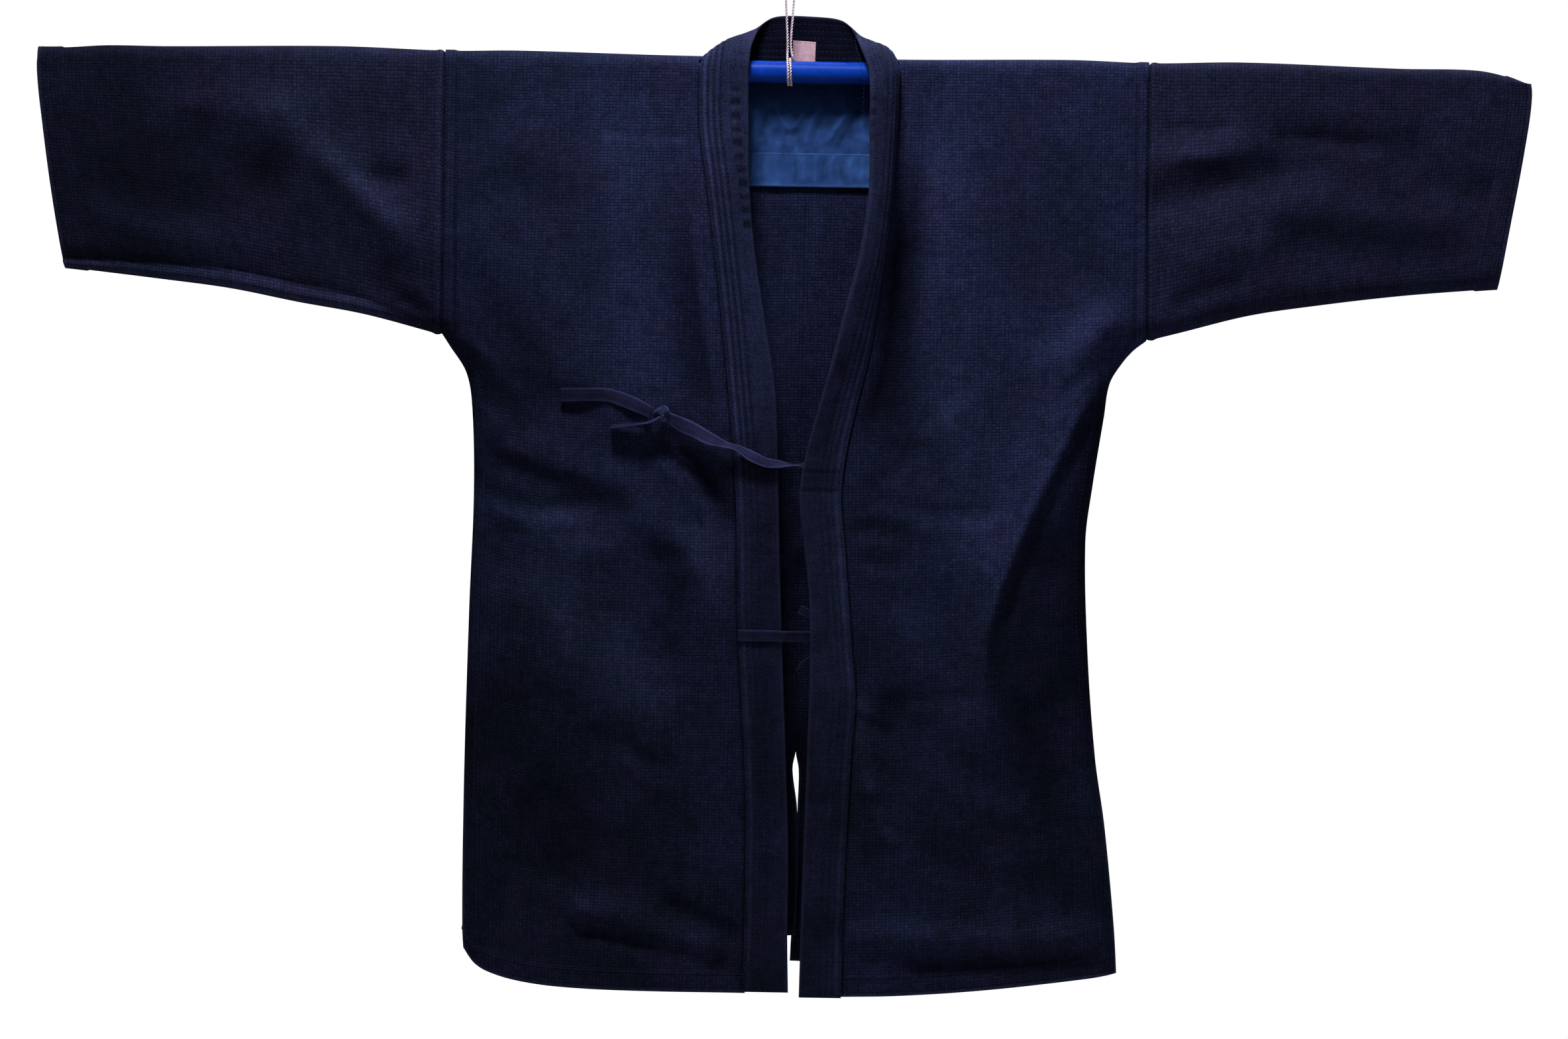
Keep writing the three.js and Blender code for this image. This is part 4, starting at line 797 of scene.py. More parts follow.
def make_fade_and_light_group():
    """Indigo faded unevenly in soft clouds and paler towards the shoulders, partly real fading and partly
    painted light from above. The wearer's right side is darker, as painted shade.
    """
    group, given, made = new_group(
        "faded indigo with painted light",
        {"Place": ("Vector", None), "Deep": ("Color", (0, 0, 0, 1)), "Faded": ("Color", (0, 0, 0, 1)),
         "Violet": ("Color", (0, 0, 0, 1)), "Top": ("Float", -0.25), "Low": ("Float", -0.8)},
        {"Color": "Color"},
    )
    place = put(group, "ShaderNodeSeparateXYZ", {0: given["Place"]})
    # Paler higher up: partly fading, partly painted light from above.
    by_height = soft_range(group, place.outputs[2], given["Low"], given["Top"])
    clouds = noise(group, given["Place"], 5.5, 4.0, 0.62)
    patches = noise(group, given["Place"], 24.0, 3.0, 0.6)
    broad = maths(group, "MULTIPLY", clouds, 1.5)
    spread = maths(group, "ADD", broad, maths(group, "MULTIPLY", patches, 0.9))
    # Painted shade: the wearer's right side, at -X, is made darker.
    less = soft_range(group, place.outputs[0], -0.3, 0.1, 1.32, 1.06)
    above = maths(group, "MULTIPLY", by_height, 0.62)
    faded = maths(group, "ADD", above, maths(group, "SUBTRACT", spread, less))
    held = put(group, "ShaderNodeClamp", {0: faded}).outputs[0]
    base = blend_colours(group, held, given["Deep"], given["Faded"])
    tinge = soft_range(group, noise(group, given["Place"], 17.0, 3.0), 0.45, 0.64, 0.0, 0.45)
    coloured = blend_colours(group, tinge, base, given["Violet"])
    fill(group, made, {"Color": coloured})
    return group


def make_row_group():
    """The dent that a row of sewing pulls into cloth, at a distance from an edge in millimetres."""
    group, given, made = new_group(
        "sewn row", {"Distance": ("Float", 0.0), "At": ("Float", 3.0), "Reach": ("Float", 1.3)},
        {"Dent": "Float"},
    )
    away = maths(group, "ABSOLUTE", maths(group, "SUBTRACT", given["Distance"], given["At"]))
    fill(group, made, {"Dent": soft_range(group, away, 0.0, given["Reach"], 1.0, 0.0)})
    return group


SLUB_STREAKS = (((620, 24, 1), 0.5), ((24, 620, 1), 0.4), ((900, 900, 1), 1.5), ((90, 90, 1), 0.55))


def make_slub_group():
    """Uneven yarn: long faint streaks along both threads, and small blotches between them."""
    group, given, made = new_group("slubs", {"Place": ("Vector", None), "Amount": ("Float", 1.0)},
                                   {"Level": "Float"})
    level = None
    for stretch, weight in SLUB_STREAKS:
        place = put(group, "ShaderNodeMapping", {"Vector": given["Place"], "Scale": stretch}).outputs[0]
        uneven = maths(group, "SUBTRACT", noise(group, place, 1.0, 2.0, 0.6), 0.5)
        part = maths(group, "MULTIPLY", uneven, weight)
        level = part if level is None else maths(group, "ADD", level, part)
    streaked = maths(group, "MULTIPLY_ADD", level, given["Amount"], 1.0)
    fill(group, made, {"Level": maths(group, "MAXIMUM", streaked, 0.15)})
    return group


WEAVE = make_weave_group()
SLUBS = make_slub_group()
FADE_AND_LIGHT = make_fade_and_light_group()
SEWN_ROW = make_row_group()
print("node groups:", [group.name for group in bpy.data.node_groups])

# %% [markdown]
# ## Finishes: the cloths
# Very dark cloth is hard to light: a gloss that is left at its usual strength would wash the colour
# out. So the specular level is low, and a little sheen stands for the fuzz of worn cotton. Edges are
# rubbed paler, each grain has its own tint, and a few specks of white core show where it is worn.

# %% Sashiko cloth
def start_material(name):
    material = bpy.data.materials.new(name)
    material.use_nodes = True
    tree = material.node_tree
    shader = tree.nodes["Principled BSDF"]
    return material, tree, shader


def attribute(tree, name):
    return put(tree, "ShaderNodeAttribute", attribute_name=name, attribute_type="GEOMETRY").outputs["Fac"]


def sashiko(name, deep, faded, violet, grain, rows=(), wear=0.6, bump=0.55):
    """Indigo sashiko. rows are the sewn rows' distances from the edge, in millimetres."""
    material, tree, shader = start_material(name)
    flat = put(tree, "ShaderNodeUVMap", uv_map="cloth").outputs[0]
    place = put(tree, "ShaderNodeTexCoord").outputs["Object"]
    weave = use_group(tree, WEAVE, {"Place": flat, "Grain": grain})
    fade = use_group(tree, FADE_AND_LIGHT, {"Place": place, "Deep": (*deep, 1), "Faded": (*faded, 1),
                                  "Violet": (*violet, 1)})
    edge = attribute(tree, "edge")
    rubbed = noise(tree, place, 130.0, 3.0, 0.7)
    at_edge = soft_range(tree, edge, 0.0, 3.4, 1.0, 0.0)
    worn = maths(tree, "MULTIPLY", maths(tree, "MULTIPLY", at_edge, rubbed), wear)
    slubs = use_group(tree, SLUBS, {"Place": flat, "Amount": 1.6})["Level"]
    tint = maths(tree, "MULTIPLY_ADD", weave["Tint"], 0.5, 0.8)
    # The tone attribute brings the pieces' wear, and their painted light and shade, into the colour.
    level = maths(tree, "MULTIPLY", maths(tree, "MULTIPLY", slubs, tint), attribute(tree, "tone"))
    tinted = scaled(tree, fade["Color"], level)
    pits = soft_range(tree, weave["Grains"], 0.1, 1.0, 0.38, 0.0)
    shaded = blend_colours(tree, pits, tinted, tuple(part * 0.25 for part in deep) + (1,))
    specks = soft_range(tree, noise(tree, flat, 1100.0, 2.0, 0.7), 0.66, 0.76, 0.0, 0.4)
    specked = blend_colours(tree, specks, shaded, (0.075, 0.085, 0.16, 1))
    colour = blend_colours(tree, worn, specked, (faded[0] * 3.4, faded[1] * 3.2, faded[2] * 2.6, 1))
    height = weave["Height"]
    for at in rows:
        dent = use_group(tree, SEWN_ROW, {"Distance": edge, "At": at})["Dent"]
        height = maths(tree, "MULTIPLY_ADD", dent, -1.6, height)
    fine = noise(tree, flat, 1100.0, 2.0, 0.6)
    height = maths(tree, "MULTIPLY_ADD", fine, 0.5, height)
    fill(tree, shader, {
        "Base Color": colour, "Roughness": maths(tree, "MULTIPLY_ADD", weave["Grains"], -0.08, 0.94),
        "Normal": bumped(tree, bump, 0.0008, height), "Specular IOR Level": 0.02, "Sheen Weight": 0.01,
        "Sheen Roughness": 0.45, "Sheen Tint": (0.55, 0.6, 1.0, 1),
    })
    return material


DEEP_INDIGO = (0.0074, 0.0100, 0.0225)
FADED_INDIGO = (0.0178, 0.0224, 0.0680)
VIOLET_INDIGO = (0.0165, 0.0152, 0.0470)
CLOTH_FINISH = sashiko("indigo sashiko", DEEP_INDIGO, FADED_INDIGO, VIOLET_INDIGO, 3.3, rows=(3.2, 14.5))
SLEEVE_FINISH = sashiko("indigo sashiko sleeve", DEEP_INDIGO, (0.0170, 0.0190, 0.0520),
                        (0.0160, 0.0140, 0.0400), 3.3, rows=(4, 19.5))
COLLAR_FINISH = sashiko("indigo collar band", DEEP_INDIGO, (0.0200, 0.0245, 0.0690), VIOLET_INDIGO, 1.9,
                        wear=0.3, bump=0.4)

# %% [markdown]
# The ties are woven tape, the lining is thin plain cotton, and the label is a bare woven tab. A fine
# plain weave is two sets of waves, one along each thread, and their product is the crossing of
# threads.

# %% Plain cloths and thread
def plain_cloth(name, dark, light, threads, sheen=0.012, cloud=22.0, toned=False):
    """Plain woven cotton. threads is how many lie in a metre."""
    material, tree, shader = start_material(name)
    flat = put(tree, "ShaderNodeUVMap", uv_map="cloth").outputs[0]
    place = put(tree, "ShaderNodeTexCoord").outputs["Object"]
    waves = {"Vector": flat, "Scale": threads / 6.28, "Distortion": 0.6}
    warp, weft = (put(tree, "ShaderNodeTexWave", waves, bands_direction=way).outputs["Fac"] for way in "XY")
    weave = maths(tree, "MULTIPLY", warp, weft)
    clouds = noise(tree, place, cloud, 4.0, 0.6)
    fine = noise(tree, flat, 900.0, 2.0, 0.6)
    mixed = maths(tree, "ADD", clouds, maths(tree, "MULTIPLY", fine, 0.35))
    level = soft_range(tree, maths(tree, "MULTIPLY_ADD", weave, 0.3, mixed), 0.35, 1.15)
    colour = blend_colours(tree, level, (*dark, 1), (*light, 1))
    if toned:
        colour = scaled(tree, colour, attribute(tree, "tone"))
    height = maths(tree, "MULTIPLY_ADD", fine, 0.8, weave)
    fill(tree, shader, {
        "Base Color": colour, "Roughness": maths(tree, "MULTIPLY_ADD", fine, 0.12, 0.78),
        "Normal": bumped(tree, 0.35, 0.0003, height), "Specular IOR Level": 0.04, "Sheen Weight": sheen,
        "Sheen Roughness": 0.4,
    })
    return material


TAPE_FINISH = plain_cloth("indigo tape", (0.0090, 0.0105, 0.030), (0.0270, 0.0290, 0.085), 900, cloud=60.0,
                          toned=True)
LINING_FINISH = plain_cloth("blue lining", (0.009, 0.028, 0.105), (0.028, 0.074, 0.245), 1500, cloud=30.0,
                            toned=True)
BAND_FINISH = plain_cloth("blue lining band", (0.012, 0.040, 0.140), (0.032, 0.086, 0.280), 1500, cloud=45.0,
                          toned=True)
LABEL_FINISH = plain_cloth("bare label", (0.42, 0.25, 0.31), (0.64, 0.44, 0.51), 1900, cloud=160.0,
                           sheen=0.0)
THREAD_FINISH = plain_cloth("indigo thread", (0.0110, 0.0130, 0.0380), (0.034, 0.038, 0.092), 3000,
                            cloud=300.0)
PALE_THREAD_FINISH = plain_cloth("pale blue thread", (0.05, 0.10, 0.24), (0.12, 0.20, 0.38), 3000,
                                 cloud=300.0)
STRING_FINISH = plain_cloth("pale twine", (0.66, 0.50, 0.62), (0.92, 0.84, 0.92), 2600, cloud=200.0,
                            sheen=0.1)


def rod_finish():
    """A blue plastic skin on a metal tube: smooth, with the faint drawn lines and rubs of use."""
    material, tree, shader = start_material("blue rod")
    place = put(tree, "ShaderNodeTexCoord").outputs["Object"]
    stretched = put(tree, "ShaderNodeMapping", {"Vector": place, "Scale": (0.06, 1, 1)}).outputs[0]
    drawn = noise(tree, stretched, 900.0, 3.0, 0.6)
    rubs = noise(tree, place, 60.0, 4.0, 0.65)
    level = soft_range(tree, rubs, 0.35, 0.75)
    fill(tree, shader, {
        "Base Color": blend_colours(tree, level, (0.0015, 0.036, 0.36, 1), (0.0025, 0.056, 0.46, 1)),
        "Roughness": maths(tree, "MULTIPLY_ADD", rubs, 0.22, 0.26),
        "Normal": bumped(tree, 0.12, 0.0002, drawn), "Specular IOR Level": 0.08,
    })
    return material


def floor_finish():
    material, tree, shader = start_material("pale floor")
    place = put(tree, "ShaderNodeTexCoord").outputs["Object"]
    grain = noise(tree, place, 14.0, 5.0, 0.6)
    colour = blend_colours(tree, grain, (0.80, 0.80, 0.79, 1), (0.86, 0.86, 0.85, 1))
    fill(tree, shader, {"Base Color": colour, "Roughness": 0.85})
    return material


ROD_FINISH = rod_finish()
floor_mesh.materials.append(floor_finish())

# %% [markdown]
# ## The body
# Each half of the body is one length of cloth: up the front, over the rod and down the back, with no
# seam on the shoulder. A grid fits that well, with its rows running from the front hem to the back hem
# and its columns from the centre to the side. The rows lie closer at the hems, over the rod and at the
# underarm, where the form turns quickly.

# %% Body edges
CAP_RUN = 41
ROW_STEP = 3.9
SIDE_ROLL_SHARE = 0.16
# How much the folds' height pales ridges and darkens troughs in colour: partly wear, partly painted light
# and shade.
RIDGE_WEAR_AND_LIGHT = 0.06
# How dark the painted shade is in sunk seam lines.
LINE_PAINTED_SHADE = 0.6


def side_edge(side, z):
    armhole = curve(ARMHOLE[side], "z", "x", z)
    return np.where(z < UNDERARM[side], curve(SIDE_SEAM[side], "z", "x", z), armhole)


def centre_edge(side, face, z):
    if face == "front":
        return curve(COLLAR_FRONT[side], "z", "seam", z) - outward(side) * COLLAR_TUCK
    vent = curve(VENT_EDGE[side], "z", "x", z)
    return np.where(z > BACK_VENT_TOP, CENTRE_BACK, vent)


def neck_edge(side, angle):
    """Where a body half ends at the neck, as it passes over the rod."""
    sign = outward(side)
    mine = sign * (COLLAR_NECK["seam"] - CENTRE_BACK) >= 0
    angles = (COLLAR_NECK["angle"] - COLLAR_NECK["sunk"])[mine]
    places = COLLAR_NECK["seam"][mine] + sign * NECK_GAP
    order = np.argsort(angles)
    low, high = CENTRE_BACK, float(centre_edge(side, "front", np.array(0.0)))
    all_angles = np.concatenate([[0, angles[order][0] - 1], angles[order], [180]])
    all_places = np.concatenate([[low, low], places[order], [high]])
    return np.interp(angle, all_angles, all_places)


def roll_share(across):
    """Columns lie closer where the cloth rolls round at the side."""
    straight = across / (1 - SIDE_ROLL_SHARE)
    into_roll = np.clip((across - 1 + SIDE_ROLL_SHARE) / SIDE_ROLL_SHARE, 0, 1)
    width = 0.105
    return np.where(across < 1 - SIDE_ROLL_SHARE, straight * (1 - width),
                    1 - width + width * np.sin(into_roll * math.pi / 2))


def pucker(along, seed):
    """Small uneven gathers beside a row of sewing."""
    return 0.5 * slack(along, np.zeros_like(along), 9, seed) + 0.5 * slack(along, along * 0, 4.5, seed + 1)


def body_facts(side, face, across, share):
    """Where a place on a panel lies, how far it is from its nearest edge, and what raises it there."""
    hem = HEM[face][side]
    level = hem["z"][0] * share
    inner = centre_edge(side, face, level)
    outer = side_edge(side, hem["z"][-1] * share)
    x = mix(inner, outer, roll_share(across))
    edge_line = curve(hem, "x", "z", mix(hem["x"][0], hem["x"][-1], roll_share(across)))
    z = edge_line * share
    above = z - edge_line
    from_side = np.abs(side_edge(side, z) - x)
    upper = z > UNDERARM[side]
    hem_raise = np.clip((HEM_TURN + 1 - above) / 2, 0, 1)
    band_raise = np.where(upper, np.clip((ARMHOLE_BAND + 1 - from_side) / 2, 0, 1), 0)
    raise_by = HEM_RAISE * np.maximum(hem_raise, band_raise)
    gathers = HEM_GATHER * pucker(x, 21) * bell((above - 15) / 9)
    gathers += BAND_GATHER * np.where(upper, pucker(z, 23) * bell((from_side - 8) / 8), 0)
    vented = (face == "back") & (level < BACK_VENT_TOP)
    behind = np.where(vented, curve(VENT_EDGE[side], "z", "behind", level), 0) if face == "back" else 0
    off = raise_by + gathers + behind * (1 - across)
    off -= np.where(upper, SEAM_SINK * bell(from_side / SEAM_WIDE), 0)
    if face == "front":
        from_seam = np.abs(x - inner) - COLLAR_TUCK
        off += TUCK_LIFT * smooth((TUCK_RAMP - from_seam) / TUCK_RAMP)
        off -= SEAM_SINK * bell((from_seam - 0.6) / SEAM_WIDE)
    from_vent = np.where(z < SIDE_VENT_TOP, from_side, 1e3)
    from_centre = np.abs(x - inner) if face == "back" else np.full_like(x, 1e3)
    from_centre = np.where(vented, from_centre, 1e3)
    return x, z, off, np.minimum(np.minimum(above, from_vent), from_centre)


def worn_and_painted_tone(face, x, z):
    """Ridges are paler and troughs darker, partly wear and partly painted light and shade; strips beside
    folds are painted shade, and the whole back is darker as painted shade.
    """
    tone = (1 + RIDGE_WEAR_AND_LIGHT * relief(face, x, z)) * painted_fold_shade(face, x, z)
    # Painted shade over the whole back.
    return tone * (BACK_PAINTED_SHADE if face == "back" else 1)


def seam_painted_shade(side, face, x, z):
    """Painted shade along the felled bands at the armholes and beside the collar's seam, where the seams
    sink.
    """
    from_side = np.abs(side_edge(side, z) - x)
    band = bell(from_side / 1.5) + 0.8 * bell((from_side - ARMHOLE_BAND - 1) / 1.3)
    tone = 1 - np.where(z > UNDERARM[side], LINE_PAINTED_SHADE * band, 0)
    if face == "front":
        from_seam = np.abs(x - curve(COLLAR_FRONT[side], "z", "seam", z))
        tone *= 1 - LINE_PAINTED_SHADE * bell(from_seam / 1.6)
    return tone


def body_form(side, across, run):
    """The points of one body half, their flat places, how far each is from an edge, and its tone."""
    points = np.zeros((len(across), 3))
    edge, tone = np.zeros(len(across)), np.ones(len(across))
    for face in FACES:
        depth = -HEM[face][side]["z"][0]
        here = run < 0 if face == "front" else run > CAP_RUN
        share = -run[here] / depth if face == "front" else (run[here] - CAP_RUN) / depth
        x, z, off, from_edge = body_facts(side, face, across[here], share)
        points[here] = on_face(face, x, z, off)
        edge[here] = from_edge
        tone[here] = worn_and_painted_tone(face, x, z) * seam_painted_shade(side, face, x, z)
    cap = (run >= 0) & (run <= CAP_RUN)
    angle = 180 * (1 - run[cap] / CAP_RUN)
    outer = side_edge(side, np.zeros(cap.sum()))
    x = mix(neck_edge(side, angle), outer, roll_share(across[cap]))
    from_armhole = np.abs(outer - x)
    raise_by = HEM_RAISE * np.clip((ARMHOLE_BAND + 1 - from_armhole) / 2, 0, 1)
    points[cap] = over_rod(x, angle, raise_by)
    edge[cap] = 1e3
    return points, (points[:, 0], run), {"edge": edge, "tone": tone}


def body_rows(side):
    """Rows from the front hem, over the rod, to the back hem."""
    front, back = -HEM["front"][side]["z"][0], -HEM["back"][side]["z"][0]
    arm = -UNDERARM[side]
    down = ((0, arm - 8, ROW_STEP), (arm - 8, arm + 44, 2.2))
    front_rows = stations(*down, (arm + 44, front - 22, ROW_STEP), (front - 22, front, 1.6))
    back_rows = stations(*down, (arm + 44, back - 22, ROW_STEP), (back - 22, back, 1.6))
    cap_rows = np.linspace(0, CAP_RUN, 42)
    return np.concatenate([-front_rows[:0:-1], cap_rows, CAP_RUN + back_rows[1:]])


# %% Both body halves
BODY_COLUMNS = stations((0, 0.04, 0.0042), (0.04, 1 - SIDE_ROLL_SHARE, 0.0155),
                        (1 - SIDE_ROLL_SHARE, 1, 0.0125))
for side in SIDES:
    body_mesh = shaped_grid(
        f"body_{side}_cloth", BODY_COLUMNS, body_rows(side), partial(body_form, side),
        hint=lambda middle: (0, 1 if middle[1] > 0 else -1, 0))
    give_wall(
        add_piece(f"body_{side}_cloth", body_mesh, "sashiko_cloth", CLOTH_FINISH, f"body_{side}"), CLOTH)
    print("body", side, "has", len(body_mesh.polygons), "faces before its wall")

# %% [markdown]
# ## The sleeves
# A sleeve is a straight tube sewn on at the armhole. Its columns run along the arm and its rows go
# round it, starting at the seam underneath, where the front and the back meet. The cuff is turned in
# and sewn twice, so it stands a little proud and its edge puckers.

# %% Sleeves
UNDER_ROLL_SHARE = 0.16
SLEEVE_CAP = (2, 178)
SLEEVE_PITCH = 3.4
SLEEVE_GIRTH = 430
CUFF_DARKENING = 0.4
SEAM_RIDGE_LIGHT = 0.4
# The right sleeve's lower edge: a lip in the form, a painted highlight on the strip, and a line of painted
# shade along its top.
UNDER_STRIP = {"share": (0, 0.1, 0.22, 0.5, 0.78, 0.94, 1), "line": (5, 9, 15, 18, 13, 10, 9),
               "amount": (0, 0.1, 1, 1, 1, 1, 1), "lip": 6, "painted_light": 1.5, "line_half": 1.2}


def sleeve_form(side, share, around):
    """A sleeve's points and facts. share runs from armhole to cuff, around from 0 to 1 round the arm."""
    under_x = mix(ARMHOLE[side]["x"][-1], CUFF[side]["x"][-1], share)
    under = curve(UNDERSIDE[side], "x", "z", under_x)

    cap_half = 0.055
    panel = 0.5 - cap_half
    points, tone = np.zeros((len(share), 3)), np.ones(len(share))
    rise = np.full(len(share), 2.0 * SIDE_ROLL)
    for face in FACES:
        climb = around / panel if face == "front" else (1 - around) / panel
        here = climb <= 1
        into_roll = np.clip(climb[here] / UNDER_ROLL_SHARE, 0, 1)
        roll = SIDE_ROLL / -under[here]
        rest = np.clip((climb[here] - UNDER_ROLL_SHARE) / (1 - UNDER_ROLL_SHARE), 0, 1)
        up = roll * (1 - np.cos(into_roll * math.pi / 2)) + (1 - roll) * rest
        z = under[here] * (1 - up)
        x = mix(ARMHOLE[side]["x"][-1], CUFF[side]["x"][-1], share[here])
        x = np.where(up > 0, place_at(side, z, share[here]), x)
        points[here] = on_face(face, x, z)
        tone[here] = worn_and_painted_tone(face, x, z)
        if face == "front":
            rise[here] = z - under[here]
    cap = (around / panel > 1) & ((1 - around) / panel > 1)
    angle = np.interp(around[cap], (panel, 1 - panel), (SLEEVE_CAP[1], SLEEVE_CAP[0]))
    points[cap] = over_rod(place_at(side, np.zeros(cap.sum()), share[cap]), angle)
    seam_line = (around < 1e-9) | (around > 1 - 1e-9)
    points[seam_line, 1] = 0
    length = abs(CUFF[side]["x"][1] - ARMHOLE[side]["x"][1])
    from_cuff = (1 - share) * length
    out = unit(points * (0, 1, 1) - np.column_stack([under * 0, under * 0, under / 2]), 1e-6)
    turned = HEM_RAISE * np.clip((CUFF_TURN + 1 - from_cuff) / 2, 0, 1)
    gathers = 0.34 * pucker(around * SLEEVE_GIRTH, 31) * bell((from_cuff - 20) / 9)
    gathers += 0.26 * pucker(around * SLEEVE_GIRTH, 33) * bell(from_cuff / 5)
    from_seam = share * length - SLEEVE_TUCK
    seam = 0.8 * bell((from_seam - 5) / 2.6) - SEAM_SINK * bell(from_seam / SEAM_WIDE)
    points = points + out * (turned + gathers + seam)[:, None]
    # Painted shade along the sleeve's armhole seam.
    tone *= 1 - LINE_PAINTED_SHADE * bell(from_seam / 1.5)
    if side == "right":
        # Painted light on the ridge beside the right sleeve's armhole seam.
        tone *= 1 + SEAM_RIDGE_LIGHT * bell((from_seam - 5) / 2.6)
        # The right sleeve's colour darkens towards its cuff.
        tone *= 1 - CUFF_DARKENING * smooth((share - 0.25) / 0.6)
        line, amount = (np.interp(share, UNDER_STRIP["share"], UNDER_STRIP[key])
                        for key in ("line", "amount"))
        lip = smooth(rise / 3) * (1 - smooth((rise - 3) / (line - 3)))
        points[:, 1] -= UNDER_STRIP["lip"] * amount * lip
        # Painted highlight on the under strip, and painted shade in the line along its top.
        tone *= 1 + UNDER_STRIP["painted_light"] * amount * smooth(rise / 2) * (1 - smooth((rise - line + 2) / 2))
        tone *= 1 - LINE_PAINTED_SHADE * amount * bell((rise - line) / UNDER_STRIP["line_half"])
    return points, (share * length, around * SLEEVE_GIRTH), {"edge": from_cuff, "tone": tone}


def place_at(side, z, share):
    """Where a level of the sleeve lies along the arm."""
    seam = curve(ARMHOLE[side], "z", "x", z) - outward(side) * SLEEVE_TUCK
    return mix(seam, curve(CUFF[side], "z", "x", z), share)


for side in SIDES:
    length = abs(CUFF[side]["x"][1] - ARMHOLE[side]["x"][1])
    band, hem = 12 / length, 26 / length
    sleeve_columns = stations((0, band, 1 / length), (band, 1 - hem, SLEEVE_PITCH / length),
                              (1 - hem, 1, 1.6 / length))
    sleeve_rows = stations((0, 0.08, 0.0055), (0.08, 0.445, 0.0082), (0.445, 0.555, 0.0055),
                           (0.555, 0.92, 0.0082), (0.92, 1, 0.0055))
    sleeve_mesh = shaped_grid(
        f"sleeve_{side}_cloth", sleeve_columns, sleeve_rows, partial(sleeve_form, side), closed=True,
        hint=lambda middle: (0, 1 if middle[1] > 0 else -1, 0))
    sleeve = add_piece(f"sleeve_{side}_cloth", sleeve_mesh, "sashiko_cloth", SLEEVE_FINISH, f"sleeve_{side}")
    give_wall(sleeve, CLOTH)
    print("sleeve", side, "has", len(sleeve_mesh.polygons), "faces before its wall")

# %% [markdown]
# ## The collar
# The collar is one folded band, quilted with rows of sewing along its outer half. It follows two
# curves: its seam with the body and its free edge. A centripetal Catmull-Rom curve goes through the
# stations without loops where they crowd round the neck. Between the curves the band bulges a little,
# and each sewn row pulls a furrow into it.

# %% Collar curves
def smooth_through(points, at):
    """A centripetal Catmull-Rom curve through points, at places from 0 to the last one's number."""
    points = np.asarray(points, float)
    ends = np.vstack([2 * points[0] - points[1], points, 2 * points[-1] - points[-2]])
    gaps = np.sqrt(np.linalg.norm(np.diff(ends, axis=0), axis=1))
    i = np.clip(np.floor(at).astype(int), 0, len(points) - 2)
    t = (at - i)[:, None]
    p0, p1, p2, p3 = (ends[i + k] for k in range(4))
    g0, g1, g2 = (gaps[i + k][:, None] for k in range(3))
    into = ((p1 - p0) / g0 - (p2 - p0) / (g0 + g1) + (p2 - p1) / g1) * g1
    out = ((p2 - p1) / g1 - (p3 - p1) / (g1 + g2) + (p3 - p2) / g2) * g1
    return (p1 * (2 * t**3 - 3 * t**2 + 1) + p2 * (3 * t**2 - 2 * t**3)
            + into * (t**3 - 2 * t**2 + t) + out * (t**3 - t**2))


def plain_out(face, x, z):
    """The outer face without its sharper creases and swelling, which the stiff band doesn't follow."""
    x, z = np.asarray(x, float), np.asarray(z, float)
    neck = back_at_neck(x) * (1 - smooth(-z / NECK_FADE)) if face == "back" else 0
    return curve(HANG, "drop", face, -z) + neck + folds_at(face, x, z) * smooth(-z / TOP_FADE)


def front_stations(side):
    rows = COLLAR_FRONT[side]
    z = rows["z"]
    seam_off = COLLAR_PROUD - SOLID_CLOTH / 2
    seam = np.column_stack([rows["seam"], -plain_out("front", rows["seam"], z) - seam_off, z])
    edge = np.column_stack([rows["edge"], -plain_out("front", rows["edge"], z) - seam_off - rows["lift"], z])
    return seam, edge, rows["bulge"]


def neck_stations():
    seam = over_rod(COLLAR_NECK["seam"], COLLAR_NECK["angle"], COLLAR_PROUD - SOLID_CLOTH / 2)
    edge = np.column_stack([COLLAR_NECK["edge_x"], COLLAR_NECK["edge_y"], COLLAR_NECK["edge_z"]])
    return seam, edge, COLLAR_NECK["bulge"]


right_part, neck_part, left_part = front_stations("right"), neck_stations(), front_stations("left")
left_part = tuple(part[::-1] for part in left_part)
COLLAR_SEAM, COLLAR_EDGE, COLLAR_BULGE = (
    np.concatenate(parts) for parts in zip(right_part, neck_part, left_part))
print("the collar goes through", len(COLLAR_SEAM), "stations")

# %% Collar band
QUILT_ROWS = (2.6, 8.2, 13.8, 19.4)
RIB_ROWS = (5.4, 11, 16.6)
RIB_PAINTED_LIGHT = 0.3
LEFT_SHOWN = 0.4
NECK_SPAN = 85
NECK_REACH = 0.12
NECK_RAMP = 20
QUILT_DEPTH = 0.6
QUILT_REACH = 1.15
INNER_DEPTH = 0.4
COLLAR_GATHER = 0.28
COLLAR_WAVE = 0.5
FURROW_PAINTED_SHADE = 0.55
SEAM_FADE = 0.5
NOTCH_RUN = (672, 800)
NOTCH_PITCH = 12
NOTCH_AT = 33
NOTCH_REACH = 5
NOTCH_DEPTH = 0.9
NOTCH_PAINTED_SHADE = 0.6
INNER_ROWS = (5, 11, 17, 23, 29, 35)
COLLAR_PITCH = 3.3
COLLAR_WALL = 0.8
COLLAR_WIDE = 40
INNER_TONE = 0.2
COLLAR_BARS = (-347, -352, -357.5, -363, -368)
COLLAR_PATCHES = ((51, -260, (5, 9), -0.5), (50, -395, (9, 45), 0.3), (58, -480, (9, 70), 0.35),
               (84, -130, (12, 90), 0.3), (-12, -560, (14, 220), -0.3), (-14, -353, (14, 7), -0.35),
               (-14, -404, (13, 6), -0.3), (-14, -424, (12, 5), -0.25), (-58, -170, (16, 60), -0.2))
HALF_SHADE = 0.3


